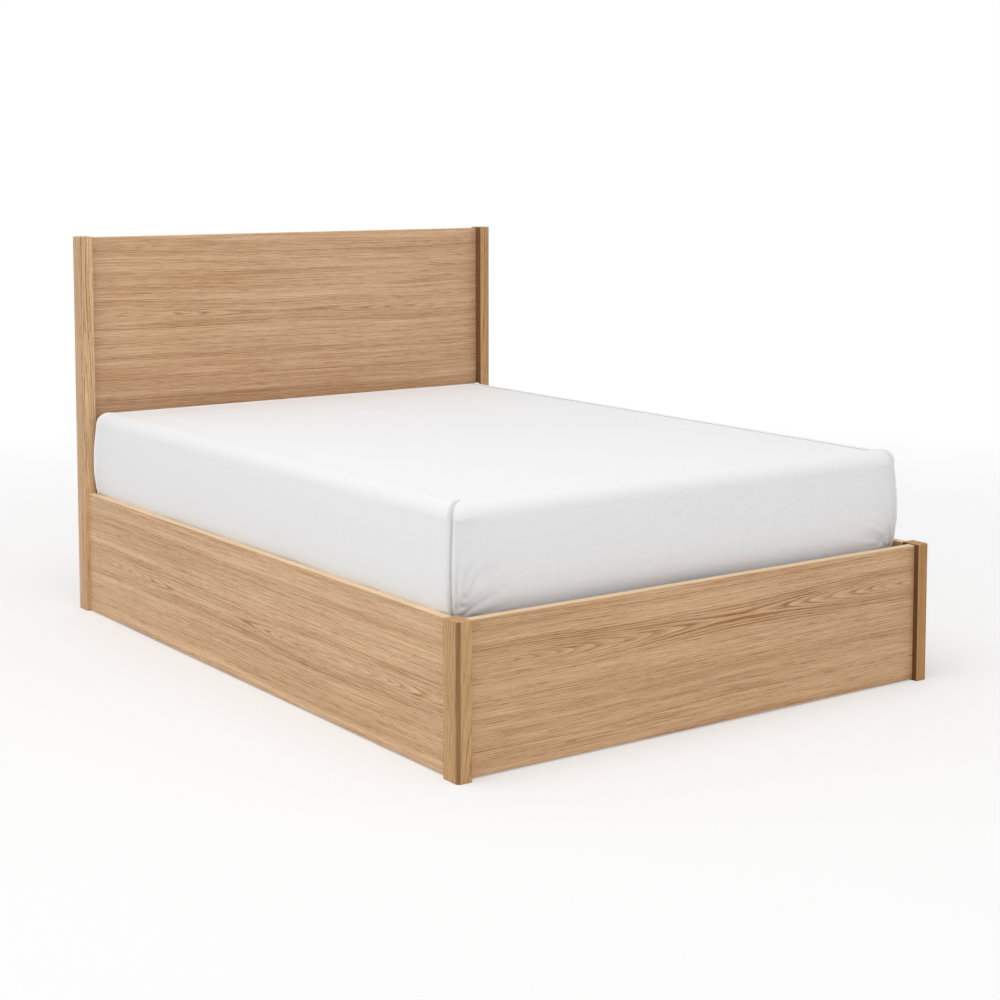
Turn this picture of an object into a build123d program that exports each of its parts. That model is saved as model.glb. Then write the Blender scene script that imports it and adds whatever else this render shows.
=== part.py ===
from build123d import *
import math
import os

os.makedirs("parts", exist_ok=True)

# Ottoman bed, in millimetres: an oak frame whose sprung-slat platform lifts at the foot
# on a pair of four-bar linkages with gas struts, over a storage box.
# +Y points to the head end and +Z up. The origin is on the floor under the bed's middle.
# "Right" is the side of +X. Pieces on the left are mirror images of those on the right.

# Mattress, which the bed is made to take, and the room round it
MATTRESS_WIDTH = 1350.0
MATTRESS_LENGTH = 1900.0
MATTRESS_HEIGHT = 284.0
MATTRESS_SIDE_GAP = 18.0
MATTRESS_HEAD_GAP = 18.0
MATTRESS_FOOT_GAP = 17.0

# Heights of the two ends
HEAD_HEIGHT = 1102.0
FOOT_HEIGHT = 352.0

# Posts
POST_WIDTH = 38.0
POST_DEPTH = 57.0
POST_ROUND = 12.0
POST_ARRIS = 2.5
TOP_ARRIS = 1.5
ROUTER_BEARING = 6.0
ROUTER_STOP_ABOVE_RAIL = 22.0

# Boards: side rails, foot panel and headboard
BOARD = 22.0
RAIL_RECESS = 10.0
FOOT_RECESS = 16.0
HEAD_RECESS = 30.0
FLOOR_GAP = 3.0
TOP_STEP = 3.0
BOARD_ARRIS = 2.0

# Dowels between panels and posts
DOWEL_RADIUS = 5.0
DOWEL_LENGTH = 40.0
DOWEL_CLEARANCE = 0.1
HEAD_DOWELS = 3
FOOT_DOWELS = 2
DOWEL_MARGIN = 70.0

# Corner braces and their hanger bolts
BRACE_SPAN = 80.0
BRACE_FLANGE = 25.0
BRACE_STEEL = 2.5
BRACE_HEIGHT = 70.0
BRACE_BEND = 45.0
BRACE_Z = 60.0
BOLT_RADIUS = 4.0
BOLT_HOLE = 4.4
BOLT_IN_POST = 24.0
BOLT_TAIL = 13.0
NUT_RADIUS = 7.5
NUT_HEIGHT = 6.5

# Storage floor
BATTEN = 20.0
BEARER_WIDTH = 70.0
BEARER_COUNT = 4
BASE_BOARD = 4.0
BASE_JOINT = 1.0
FEET_PER_BEARER = 3
FOOT_PAD = 30.0
FOOT_PAD_MARGIN = 90.0

# Ledges that carry the closed platform
LEDGE_WIDTH = 40.0
LEDGE_HEIGHT = 40.0
LEDGE_TO_PLATE = 51.0
FOOT_LEDGE_WIDTH = 45.0
HEAD_LEDGE_WIDTH = 55.0
LEDGE_END_GAP = 12.0
PAD_SIZE = 18.0
PAD_THICK = 3.0
PAD_MARGIN = 60.0
PAD_EDGE = 2.0
PADS_PER_SIDE = 4
SEAT = 0.3

# Platform: welded steel frame
PLATFORM_DROP = 49.0
HEAD_CLEARANCE = 20.0
FOOT_CLEARANCE = 25.0
TUBE_WIDTH = 40.0
TUBE_HEIGHT = 25.0
TUBE_WALL = 1.5
TUBE_ROUND = 3.0
PLUG_DEPTH = 18.0
PLUG_FLANGE = 2.5
PLUG_CLEARANCE = 0.2
FRAME_CLEARANCE = 14.0
CROSS_TUBE_ROWS = 2
CROSS_TUBE_WIDTH = 25.0

# Sprung slats and their caps
SLAT_COUNT = 14
SLAT_WIDTH = 53.0
SLAT_THICK = 8.0
SLAT_RISE = 12.0
SLAT_END_MARGIN = 42.0
CAP_LENGTH = 34.0
CAP_WIDTH = 61.0
CAP_WALL = 3.0
CAP_FLOOR = 4.0
CAP_EDGE = 2.0
MIDDLE_CAP_WALL = 6.0

# Mattress and fitted sheet: border points are shares of the height with the draw-in there
MATTRESS_CROWN = 12.0
MATTRESS_CORNER = 45.0
MATTRESS_EDGE = 38.0
MATTRESS_FLAT = 180.0
MATTRESS_BORDER = ((0.0, 15.0), (0.12, 5.0), (0.42, 0.0), (0.74, 3.0))
EDGE_STEPS = 4
CROWN_STEPS = 2
SHEET_THICK = 2.0
SHEET_GAP = 0.3
SHEET_HEM = 6.0

# Mattress stops and lift strap at the foot
STOP_THICK = 4.0
STOP_WEB = 18.0
STOP_BEND = 34.0
STOP_OFFSET = 12.0
STOP_INNER = 170.0
STOP_OUTER = 470.0
STOP_BELOW_RAIL = 8.0
STRAP_HALF_WIDTH = 105.0
STRAP_WEB = 25.0
STRAP_THICK = 2.0
STRAP_BEND = 40.0
STRAP_STITCHED = 15.0

# Lift linkage in the side view: distances from the headboard's face, heights from the floor
REAR_PIVOT_REACH = 425.0
REAR_PIVOT_Z = 195.0
FRONT_PIVOT_REACH = 675.0
FRONT_PIVOT_Z = 67.0
STRUT_PIVOT_REACH = 328.0
STRUT_PIVOT_Z = 48.0
REAR_ARM_LENGTH = 310.0
REAR_ARM_ANGLE = 169.5
FRONT_PIN_FROM_REAR_PIN = (123.0, -85.0)
FRONT_PIN_OFF_CENTRE = (-2.99, -3.46)
STRUT_PIN_FROM_REAR_PIN = (-60.0, -56.0)
STRUT_PIN_OFF_CENTRE = (-0.2, -1.58)
FRONT_PIN_WANDER = 4.7
STRUT_PIN_WANDER = 1.6

# Lift linkage: plates, arms and pins, layered from the rail inwards
LIFT_PLATE = 4.0
ARM_THICK = 5.0
BRACKET_THICK = 4.0
LAYER_GAP = 0.5
ARM_WIDTH = 28.0
PIN_RADIUS = 5.0
PIN_CLEARANCE = 0.3
PIN_HEAD_RADIUS = 9.0
PIN_HEAD_THICK = 2.5
PIN_COLLAR_RADIUS = 8.0
FRONT_PIN_RADIUS = 4.0
FRONT_PIN_CAP_RADIUS = 15.5
FRONT_ARM_EYE_RADIUS = 17.0
BRACKET_EYE_RADIUS = 16.0
BRACKET_FLANGE_START = 44.0
BRACKET_FLANGE_END = 430.0
BRACKET_SHOULDER = 335.0
BRACKET_BOLTS = (70.0, 290.0, 405.0)
BRACKET_BOLT_HEAD = 7.5
BRACKET_BOLT_HEAD_THICK = 4.5
BRACKET_BOLT_GRIP = 15.0
PLATE_EYE_RADII = (27.0, 30.0, 21.0)
PLATE_WINDOW_RADIUS = 27.0
PLATE_SCREW_HOLE = 2.6
SCREWS_BY_REAR_PIVOT = ((28.0, -22.0),)
SCREWS_BY_FRONT_PIVOT = ((-75.0, -7.0),)
SCREWS_BY_STRUT_PIVOT = ((24.0, 2.0), (142.0, 2.0))

# Gas strut
STRUT_RADIUS = 10.0
STRUT_WALL = 1.2
STRUT_CENTRE_FROM_RAIL = 36.0
STRUT_TUBE_START = 20.0
STRUT_TUBE_LENGTH = 246.0
STRUT_CAP = 8.0
STRUT_GLAND = 12.0
ROD_RADIUS = 4.0
ROD_CLEARANCE = 0.3
PISTON_LENGTH = 14.0
PISTON_START = 55.0
STUD_RADIUS = 4.0
EYE_WIDTH = 12.0
EYE_RADIUS = 9.0
EYE_NECK = 10.0
OPEN_EYE_RADIUS = 11.0
CLIP_THICK = 3.0
CLIP_RADIUS = 7.0
CLIP_GAP = 0.5

# Planes that several pieces share
HALF_WIDTH = MATTRESS_WIDTH / 2 + MATTRESS_SIDE_GAP + BOARD + RAIL_RECESS
HEAD_SPACE = MATTRESS_HEAD_GAP + POST_DEPTH - HEAD_RECESS
FOOT_SPACE = MATTRESS_FOOT_GAP + BOARD + FOOT_RECESS
BED_LENGTH = MATTRESS_LENGTH + HEAD_SPACE + FOOT_SPACE
FOOT_Y = -BED_LENGTH / 2
HEAD_Y = BED_LENGTH / 2
POST_INNER_X = HALF_WIDTH - POST_WIDTH
RAIL_OUTER_X = HALF_WIDTH - RAIL_RECESS
RAIL_INNER_X = RAIL_OUTER_X - BOARD
RAIL_FOOT_Y = FOOT_Y + POST_DEPTH
RAIL_HEAD_Y = HEAD_Y - POST_DEPTH
RAIL_TOP = FOOT_HEIGHT - TOP_STEP
FOOT_FACE_Y = FOOT_Y + FOOT_RECESS + BOARD
HEAD_FACE_Y = RAIL_HEAD_Y + HEAD_RECESS
CROWN_Z = RAIL_TOP - PLATFORM_DROP
SLAT_END_Z = CROWN_Z - SLAT_RISE - SLAT_THICK
TUBE_TOP = SLAT_END_Z - SEAT - CAP_FLOOR
TUBE_BOTTOM = TUBE_TOP - TUBE_HEIGHT
LEDGE_TOP = TUBE_BOTTOM - SEAT - PAD_THICK
LEDGE_BOTTOM = LEDGE_TOP - LEDGE_HEIGHT
SIDE_TUBE_OUTER_X = RAIL_INNER_X - FRAME_CLEARANCE
SIDE_TUBE_INNER_X = SIDE_TUBE_OUTER_X - TUBE_WIDTH
FRAME_HEAD_Y = HEAD_FACE_Y - HEAD_CLEARANCE
FRAME_FOOT_Y = FOOT_FACE_Y + FOOT_CLEARANCE
MATTRESS_Y = HEAD_FACE_Y - MATTRESS_HEAD_GAP - MATTRESS_LENGTH / 2
MATTRESS_Z = CROWN_Z + SEAT


def block(x0, x1, y0, y1, z0, z1):
    """A plain block between two opposite corners."""
    return Pos((x0 + x1) / 2, (y0 + y1) / 2, (z0 + z1) / 2) * Box(x1 - x0, y1 - y0, z1 - z0)


def round_x(radius, x0, x1, y, z):
    """A round bar along X."""
    return Pos((x0 + x1) / 2, y, z) * Rot(0, 90, 0) * Cylinder(radius, x1 - x0)


def pad(size, x, y, z0, z1):
    """A square pad round a place."""
    half = size / 2
    return block(x - half, x + half, y - half, y + half, z0, z1)


def mirrored(shape):
    """The same piece on the other side of the bed."""
    return mirror(shape, about=Plane.YZ)


def write(node, *shapes):
    """Write one node, as one solid or a group of separate solids."""
    solids = [solid for shape in shapes for solid in shape.solids()]
    export_step(Compound(solids), f"parts/{node}.step")


def write_pair(node, *shapes):
    """Write a right-hand node and its mirror image."""
    write(f"{node}_right", *shapes)
    write(f"{node}_left", *[mirrored(shape) for shape in shapes])


def spread(start, end, count):
    """Evenly spaced places from start to end."""
    return [start + (end - start) * i / (count - 1) for i in range(count)]


# Frame: posts, rails and panels

def post_blank(y0, y1, height):
    """A right post with small arrises on its three plain upright corners."""
    blank = block(POST_INNER_X, HALF_WIDTH, y0, y1, 0, height)
    front_outer = (HALF_WIDTH, y0)
    plain = [
        edge
        for edge in blank.edges().filter_by(Axis.Z)
        if math.dist(front_outer, (edge.center().X, edge.center().Y)) > POST_ARRIS
    ]
    return fillet(plain, POST_ARRIS)


def corner_section(y):
    """What the router takes off a post's front outer corner, seen from above."""
    corner = Pos(HALF_WIDTH - POST_ROUND / 2, y + POST_ROUND / 2) * Rectangle(POST_ROUND, POST_ROUND)
    return corner - Pos(HALF_WIDTH - POST_ROUND, y + POST_ROUND) * Circle(POST_ROUND)


def eased_top(post):
    """Soften the edges round a post's top."""
    return chamfer(post.faces().sort_by(Axis.Z)[-1].edges(), TOP_ARRIS)


def foot_post():
    """Right foot post, its front outer corner rounded over the full height."""
    rounding = extrude(corner_section(FOOT_Y), FOOT_HEIGHT)
    post = post_blank(FOOT_Y, RAIL_FOOT_Y, FOOT_HEIGHT) - rounding
    return eased_top(post)


def head_post():
    """Right head post: square beside the rail, rounded above it, with a curved router run-out."""
    stop = RAIL_TOP + ROUTER_STOP_ABOVE_RAIL
    section = Pos(0, 0, stop) * corner_section(RAIL_HEAD_Y)
    rounding = extrude(section, HEAD_HEIGHT - stop)
    cutter_axis = Axis((HALF_WIDTH, RAIL_HEAD_Y - ROUTER_BEARING, stop), (-1, 0, 0))
    run_out = revolve(section, cutter_axis, 90)
    post = post_blank(RAIL_HEAD_Y, HEAD_Y, HEAD_HEIGHT) - rounding - run_out
    return eased_top(post)


def side_rail():
    """Right side rail, butted between the head and foot posts."""
    rail = block(RAIL_INNER_X, RAIL_OUTER_X, RAIL_FOOT_Y, RAIL_HEAD_Y, FLOOR_GAP, RAIL_TOP)
    long_edges = rail.edges().filter_by(Axis.Y)
    return fillet(long_edges, BOARD_ARRIS)


def panel(y_front, height):
    """A panel between the two posts of one end."""
    board = block(-POST_INNER_X, POST_INNER_X, y_front, y_front + BOARD, FLOOR_GAP, height - TOP_STEP)
    return fillet(board.edges().filter_by(Axis.X), BOARD_ARRIS)


def dowel_row(y_front, height, count, radius, length):
    """Dowels, or their holes, across the joint between one end's panel and its right post."""
    levels = spread(FLOOR_GAP + DOWEL_MARGIN, height - TOP_STEP - DOWEL_MARGIN, count)
    x0 = POST_INNER_X - length / 2
    return [round_x(radius, x0, x0 + length, y_front + BOARD / 2, z) for z in levels]


def bored(board, holes):
    """A board with each hole, and its mirror image, taken out."""
    for hole in holes:
        board = board - hole - mirrored(hole)
    return board


# Corner braces

def brace_line(end):
    """The bent line of a right-hand brace; end is -1 at the foot and 1 at the head."""
    face = HEAD_FACE_Y if end > 0 else FOOT_FACE_Y
    rail_point = face - end * BRACE_SPAN
    panel_point = RAIL_INNER_X - BRACE_SPAN
    return [
        (RAIL_INNER_X, rail_point - end * BRACE_FLANGE),
        (RAIL_INNER_X, rail_point),
        (panel_point, face),
        (panel_point - BRACE_FLANGE, face),
    ]


def brace_middle(end):
    """The middle of the brace's slanting web, on its outer face."""
    points = brace_line(end)
    return ((points[1][0] + points[2][0]) / 2, (points[1][1] + points[2][1]) / 2)


def brace_plate(end, z0):
    """A bent steel brace across one right-hand corner, with a bolt hole."""
    points = brace_line(end)
    inset = BRACE_STEEL * math.tan(math.radians(BRACE_BEND / 2))
    steel = BRACE_STEEL
    inner = [
        (points[0][0] - steel, points[0][1]),
        (points[1][0] - steel, points[1][1] - end * inset),
        (points[2][0] - inset, points[2][1] - end * steel),
        (points[3][0], points[3][1] - end * steel),
    ]
    outline = make_face(Polyline(*points, *reversed(inner), close=True))
    strip = extrude(Pos(0, 0, z0) * outline, BRACE_HEIGHT)
    hole = along_bolt(end, z0, BOLT_HOLE, -BOLT_TAIL, BOLT_TAIL)
    return strip - hole


def along_bolt(end, z0, radius, start, stop):
    """A round bar on the bolt's axis, start and stop measured from the brace towards the post."""
    x, y = brace_middle(end)
    base = Plane(origin=(x, y, z0 + BRACE_HEIGHT / 2), z_dir=(1, end, 0))
    return extrude(base.offset(start) * Circle(radius), stop - start)


def bolt_depth():
    """Distance along the bolt from the brace's outer face to the bottom of its hole."""
    to_post = (POST_INNER_X - RAIL_INNER_X + BRACE_SPAN / 2) * math.sqrt(2)
    return to_post + BOLT_IN_POST


def hanger_bolt(end, z0):
    """Hanger bolt with its nut on the brace's inner face."""
    nut_end = -BRACE_STEEL - NUT_HEIGHT
    bolt = along_bolt(end, z0, BOLT_RADIUS, nut_end - BOLT_TAIL, bolt_depth() - SEAT)
    x, y = brace_middle(end)
    plane = Plane(origin=(x, y, z0 + BRACE_HEIGHT / 2), z_dir=(1, end, 0))
    nut = extrude(plane.offset(nut_end) * RegularPolygon(NUT_RADIUS, 6), NUT_HEIGHT)
    return bolt + nut


def bolt_hole(end):
    """The blind hole for the hanger bolt in one right-hand post."""
    return along_bolt(end, BRACE_Z, BOLT_HOLE, 0, bolt_depth())


def write_frame():
    """Posts, rails, panels, dowels and corner braces."""
    foot_front = FOOT_Y + FOOT_RECESS
    bore = DOWEL_RADIUS + DOWEL_CLEARANCE
    bore_length = DOWEL_LENGTH + 2 * SEAT
    head_holes = dowel_row(HEAD_FACE_Y, HEAD_HEIGHT, HEAD_DOWELS, bore, bore_length)
    foot_holes = dowel_row(foot_front, FOOT_HEIGHT, FOOT_DOWELS, bore, bore_length)
    head = head_post()
    for hole in [*head_holes, bolt_hole(1)]:
        head = head - hole
    foot = foot_post()
    for hole in [*foot_holes, bolt_hole(-1)]:
        foot = foot - hole
    write_pair("head_post", head)
    write_pair("foot_post", foot)
    write_pair("side_rail", side_rail())
    write("headboard_panel", bored(panel(HEAD_FACE_Y, HEAD_HEIGHT), head_holes))
    write("foot_panel", bored(panel(foot_front, FOOT_HEIGHT), foot_holes))
    head_dowels = dowel_row(HEAD_FACE_Y, HEAD_HEIGHT, HEAD_DOWELS, DOWEL_RADIUS, DOWEL_LENGTH)
    foot_dowels = dowel_row(foot_front, FOOT_HEIGHT, FOOT_DOWELS, DOWEL_RADIUS, DOWEL_LENGTH)
    dowels = head_dowels + foot_dowels
    write("panel_dowels", *dowels, *[mirrored(dowel) for dowel in dowels])
    braces = [brace_plate(end, BRACE_Z) for end in (-1, 1)]
    bolts = [hanger_bolt(end, BRACE_Z) for end in (-1, 1)]
    write("corner_braces", *braces, *[mirrored(brace) for brace in braces])
    write("hanger_bolts", *bolts, *[mirrored(bolt) for bolt in bolts])


# Storage floor and ledges

def bearer_places():
    """Middles of the cross bearers, the end ones against the end panels."""
    return spread(FOOT_FACE_Y + BEARER_WIDTH / 2, HEAD_FACE_Y - BEARER_WIDTH / 2, BEARER_COUNT)


def write_storage_floor():
    """Battens, cross bearers with feet, and the loose base boards."""
    batten_inner = RAIL_INNER_X - BATTEN
    top = FLOOR_GAP + BATTEN
    batten = block(batten_inner, RAIL_INNER_X, RAIL_FOOT_Y, RAIL_HEAD_Y, FLOOR_GAP, top)
    write_pair("floor_batten", batten)
    half = BEARER_WIDTH / 2
    bearers = []
    for y in bearer_places():
        bearers.append(block(-batten_inner, batten_inner, y - half, y + half, FLOOR_GAP, top))
    write("cross_bearers", *bearers)
    feet_x = spread(FOOT_PAD_MARGIN - batten_inner, batten_inner - FOOT_PAD_MARGIN, FEET_PER_BEARER)
    feet = [pad(FOOT_PAD, x, y, 0, FLOOR_GAP) for y in bearer_places() for x in feet_x]
    write("bearer_feet", *feet)
    half_board = POST_INNER_X - BASE_JOINT
    joints = bearer_places()
    starts = [FOOT_FACE_Y, *joints[1:-1]]
    ends = [*joints[1:-1], HEAD_FACE_Y]
    boards = []
    for y0, y1 in zip(starts, ends):
        gap = BASE_JOINT / 2
        boards.append(block(-half_board, half_board, y0 + gap, y1 - gap, top, top + BASE_BOARD))
    write("base_boards", *boards)


def write_ledges():
    """Softwood ledges on the rails and end panels, with rubber pads on top."""
    inner = RAIL_INNER_X - LEDGE_WIDTH
    end = HEAD_FACE_Y - FRONT_PIVOT_REACH - PLATE_EYE_RADII[1] - LEDGE_TO_PLATE
    write_pair("side_ledge", block(inner, RAIL_INNER_X, RAIL_FOOT_Y, end, LEDGE_BOTTOM, LEDGE_TOP))
    half = SIDE_TUBE_INNER_X - LEDGE_END_GAP
    foot_edge = FOOT_FACE_Y + FOOT_LEDGE_WIDTH
    head_edge = HEAD_FACE_Y - HEAD_LEDGE_WIDTH
    write("foot_ledge", block(-half, half, FOOT_FACE_Y, foot_edge, LEDGE_BOTTOM, LEDGE_TOP))
    write("head_ledge", block(-half, half, head_edge, HEAD_FACE_Y, LEDGE_BOTTOM, LEDGE_TOP))
    top = LEDGE_TOP + PAD_THICK
    side_y = spread(RAIL_FOOT_Y + PAD_MARGIN, end - PAD_MARGIN, PADS_PER_SIDE)
    side_x = (inner + SIDE_TUBE_OUTER_X) / 2
    pads = [pad(PAD_SIZE, side_x, y, LEDGE_TOP, top) for y in side_y]
    pad_x = half - PAD_MARGIN
    inset = PAD_SIZE / 2 + PAD_EDGE
    pads.append(pad(PAD_SIZE, pad_x, foot_edge - inset, LEDGE_TOP, top))
    pads.append(pad(PAD_SIZE, pad_x, head_edge + inset, LEDGE_TOP, top))
    write("rest_pads", *pads, *[mirrored(shape) for shape in pads])


# Platform frame and slats

def hollow(x0, x1, y0, y1, z0, z1, along):
    """A rectangular steel tube with rounded edges, open at both ends."""
    outer = fillet(block(x0, x1, y0, y1, z0, z1).edges().filter_by(along), TUBE_ROUND)
    if along == Axis.Y:
        return outer - block(x0 + TUBE_WALL, x1 - TUBE_WALL, y0, y1, z0 + TUBE_WALL, z1 - TUBE_WALL)
    return outer - block(x0, x1, y0 + TUBE_WALL, y1 - TUBE_WALL, z0 + TUBE_WALL, z1 - TUBE_WALL)


def bracket_bolt_places():
    """Where the lift bracket's bolts pass through the side tube, as (y, z)."""
    return [(HEAD_FACE_Y - reach, (TUBE_TOP + TUBE_BOTTOM) / 2) for reach in BRACKET_BOLTS]


def write_platform_frame():
    """The welded frame: side, end, centre and cross tubes."""
    inner = SIDE_TUBE_INNER_X
    outer = SIDE_TUBE_OUTER_X
    low = TUBE_BOTTOM
    top = TUBE_TOP
    side = hollow(inner, outer, FRAME_FOOT_Y, FRAME_HEAD_Y, low, top, Axis.Y)
    for y, z in bracket_bolt_places():
        side = side - round_x(BOLT_HOLE, outer - 2 * TUBE_WALL, outer, y, z)
    write_pair("platform_side_tube", side)
    head_edge = FRAME_HEAD_Y - TUBE_WIDTH
    foot_edge = FRAME_FOOT_Y + TUBE_WIDTH
    write("platform_head_tube", hollow(-inner, inner, head_edge, FRAME_HEAD_Y, low, top, Axis.X))
    write("platform_foot_tube", hollow(-inner, inner, FRAME_FOOT_Y, foot_edge, low, top, Axis.X))
    half = TUBE_WIDTH / 2
    write("platform_centre_tube", hollow(-half, half, foot_edge, head_edge, low, top, Axis.Y))
    cross = []
    for y in spread(FRAME_FOOT_Y, FRAME_HEAD_Y, CROSS_TUBE_ROWS + 2)[1:-1]:
        y0 = y - CROSS_TUBE_WIDTH / 2
        cross.append(hollow(half, inner, y0, y0 + CROSS_TUBE_WIDTH, low, top, Axis.X))
    write("platform_cross_tubes", *cross, *[mirrored(tube) for tube in cross])
    plugs = [tube_plug(end) for end in (-1, 1)]
    write("tube_plugs", *plugs, *[mirrored(plug) for plug in plugs])


def tube_plug(end):
    """A plastic plug in the right side tube's end; end is -1 at the foot and 1 at the head."""
    mouth = FRAME_HEAD_Y if end > 0 else FRAME_FOOT_Y
    wall = TUBE_WALL + PLUG_CLEARANCE
    ys = sorted((mouth, mouth - end * PLUG_DEPTH))
    x0 = SIDE_TUBE_INNER_X
    x1 = SIDE_TUBE_OUTER_X
    body = block(x0 + wall, x1 - wall, ys[0], ys[1], TUBE_BOTTOM + wall, TUBE_TOP - wall)
    ys = sorted((mouth, mouth + end * PLUG_FLANGE))
    flange = block(x0, x1, ys[0], ys[1], TUBE_BOTTOM, TUBE_TOP)
    return body + chamfer(flange.edges().filter_by(Axis.Y), TUBE_WALL)


def slat_places():
    """Middles of the slats along the bed."""
    return spread(FRAME_FOOT_Y + SLAT_END_MARGIN, FRAME_HEAD_Y - SLAT_END_MARGIN, SLAT_COUNT)


def slat_span():
    """Inner and outer ends of a right-hand slat."""
    return MIDDLE_CAP_WALL / 2 + SEAT, SIDE_TUBE_OUTER_X - CAP_EDGE - CAP_WALL - SEAT


def slat(y):
    """A bent plywood slat, higher in the middle than at its ends."""
    x0, x1 = slat_span()
    middle = (x0 + x1) / 2
    low = SLAT_END_Z
    top = SLAT_END_Z + SLAT_THICK
    under = ThreePointArc((x0, low), (middle, low + SLAT_RISE), (x1, low))
    over = ThreePointArc((x1, top), (middle, top + SLAT_RISE), (x0, top))
    outline = make_face([under, Line((x1, low), (x1, top)), over, Line((x0, top), (x0, low))])
    place = Plane(origin=(0, y + SLAT_WIDTH / 2, 0), x_dir=(1, 0, 0), z_dir=(0, -1, 0))
    return extrude(place * outline, SLAT_WIDTH)


def pocket_height():
    """Room for a slat's end, which slopes up as it leaves the cap."""
    x0, x1 = slat_span()
    slope = 4 * SLAT_RISE / (x1 - x0)
    return SEAT + SLAT_THICK + slope * CAP_LENGTH + 2 * SEAT


def slat_cap(x0, x1, y, floor_z, pockets):
    """A moulded cap on a tube, with an open pocket for each (start, end) in pockets."""
    half = CAP_WIDTH / 2
    room = SLAT_WIDTH / 2 + SEAT
    top = floor_z + CAP_FLOOR + pocket_height() + CAP_WALL
    cap = block(x0, x1, y - half, y + half, floor_z, top)
    low = floor_z + CAP_FLOOR
    for start, stop in pockets:
        cap = cap - block(start, stop, y - room, y + room, low, low + pocket_height())
    return cap


def write_slats():
    """Slats in two rows, with side caps and double caps over the centre tube."""
    slats = [slat(y) for y in slat_places()]
    write_pair("slats", *slats)
    outer = SIDE_TUBE_OUTER_X - CAP_EDGE
    inner = outer - CAP_LENGTH
    side_pocket = (inner, outer - CAP_WALL)
    side = [slat_cap(inner, outer, y, TUBE_TOP, [side_pocket]) for y in slat_places()]
    write("side_slat_caps", *side, *[mirrored(cap) for cap in side])
    half_wall = MIDDLE_CAP_WALL / 2
    reach = half_wall + CAP_LENGTH - CAP_WALL
    pockets = [(half_wall, reach), (-reach, -half_wall)]
    middle = [slat_cap(-reach, reach, y, TUBE_TOP, pockets) for y in slat_places()]
    write("middle_slat_caps", *middle)


# Mattress and sheet

def mattress_form(grow):
    """The mattress's outer form, grown by a skin: bulging border, soft edges and a low crown."""
    soft = MATTRESS_EDGE
    straight = MATTRESS_HEIGHT - soft
    levels = [(share * straight, inset, 0.0) for share, inset in MATTRESS_BORDER]
    start = MATTRESS_BORDER[-1][1]
    for step in range(EDGE_STEPS + 1):
        turn = math.radians(90 * step / EDGE_STEPS)
        inset = start + soft * (1 - math.cos(turn))
        levels.append((straight + soft * math.sin(turn), inset, math.sin(turn)))
    edge = start + soft
    reach = MATTRESS_WIDTH / 2 - edge - MATTRESS_FLAT
    for step in range(1, CROWN_STEPS + 1):
        share = step / CROWN_STEPS
        rise = MATTRESS_CROWN * math.sin(math.radians(90 * share))
        levels.append((MATTRESS_HEIGHT + rise, edge + reach * share, 1.0))
    sections = []
    for height, inset, skin in levels:
        width = MATTRESS_WIDTH - 2 * inset + 2 * grow
        length = MATTRESS_LENGTH - 2 * inset + 2 * grow
        place = Pos(0, MATTRESS_Y, MATTRESS_Z + height + skin * grow)
        sections.append(place * RectangleRounded(width, length, MATTRESS_CORNER + grow))
    return loft(sections, ruled=True)


def write_mattress():
    """The mattress and the fitted sheet drawn over it."""
    write("mattress", mattress_form(0))
    hem = MATTRESS_Z + SHEET_HEM
    clear = MATTRESS_WIDTH
    below = block(-clear, clear, MATTRESS_Y - clear, MATTRESS_Y + clear, 0, hem)
    sheet = mattress_form(SHEET_GAP + SHEET_THICK) - mattress_form(SHEET_GAP) - below
    write("fitted_sheet", sheet)


# Mattress stops and lift strap, in the gap between the mattress and the foot panel

def hoop(half, web, low, high, bend):
    """An upside-down U, drawn round x = 0 and standing on low, with round outer corners."""
    from_foot = (Align.CENTER, Align.MIN)
    outer = Pos(0, low) * Rectangle(2 * half, high - low, align=from_foot)
    outer = fillet(outer.vertices().group_by(Axis.Y)[-1], bend)
    inner = Pos(0, low) * Rectangle(2 * (half - web), high - low - web, align=from_foot)
    return outer - fillet(inner.vertices().group_by(Axis.Y)[-1], bend - web)


def facing_foot(y):
    """A plane across the bed that looks towards the foot."""
    return Plane(origin=(0, y, 0), x_dir=(1, 0, 0), z_dir=(0, -1, 0))


def stop_bar(x0, x1):
    """A flat steel hoop that keeps the mattress on the tilted platform, with a foot on each leg."""
    y = FRAME_FOOT_Y - STOP_OFFSET
    low = TUBE_BOTTOM + TUBE_ROUND
    high = RAIL_TOP - STOP_BELOW_RAIL
    outline = Pos((x0 + x1) / 2, 0) * hoop((x1 - x0) / 2, STOP_WEB, low, high, STOP_BEND)
    bar = extrude(facing_foot(y) * outline, STOP_THICK)
    for x in (x0, x1 - STOP_WEB):
        bar += block(x, x + STOP_WEB, y - STOP_THICK, FRAME_FOOT_Y, low, low + STOP_THICK)
    return bar


def lift_strap():
    """A webbing loop sewn to the foot tube, to pull the platform up by."""
    y = FRAME_FOOT_Y - STOP_OFFSET
    low = TUBE_BOTTOM + TUBE_ROUND
    high = RAIL_TOP - STOP_BELOW_RAIL
    outer_half = STRAP_HALF_WIDTH
    inner_half = outer_half - STRAP_WEB
    outline = hoop(outer_half, STRAP_WEB, low, high, STRAP_BEND)
    loop = extrude(facing_foot(y) * outline, STRAP_THICK)
    z1 = low + STRAP_STITCHED
    for side in (-1, 1):
        x = side * (outer_half + inner_half) / 2
        half = STRAP_WEB / 2
        loop += block(x - half, x + half, y - STRAP_THICK, FRAME_FOOT_Y, low, z1)
    return loop


def write_foot_fittings():
    """Mattress stops and strap."""
    stop = stop_bar(STOP_INNER, STOP_OUTER)
    write("mattress_stops", stop, mirrored(stop))
    write("lift_strap", lift_strap())


# Lift linkage, drawn in the side view: x is the distance from the headboard, y the height

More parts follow.
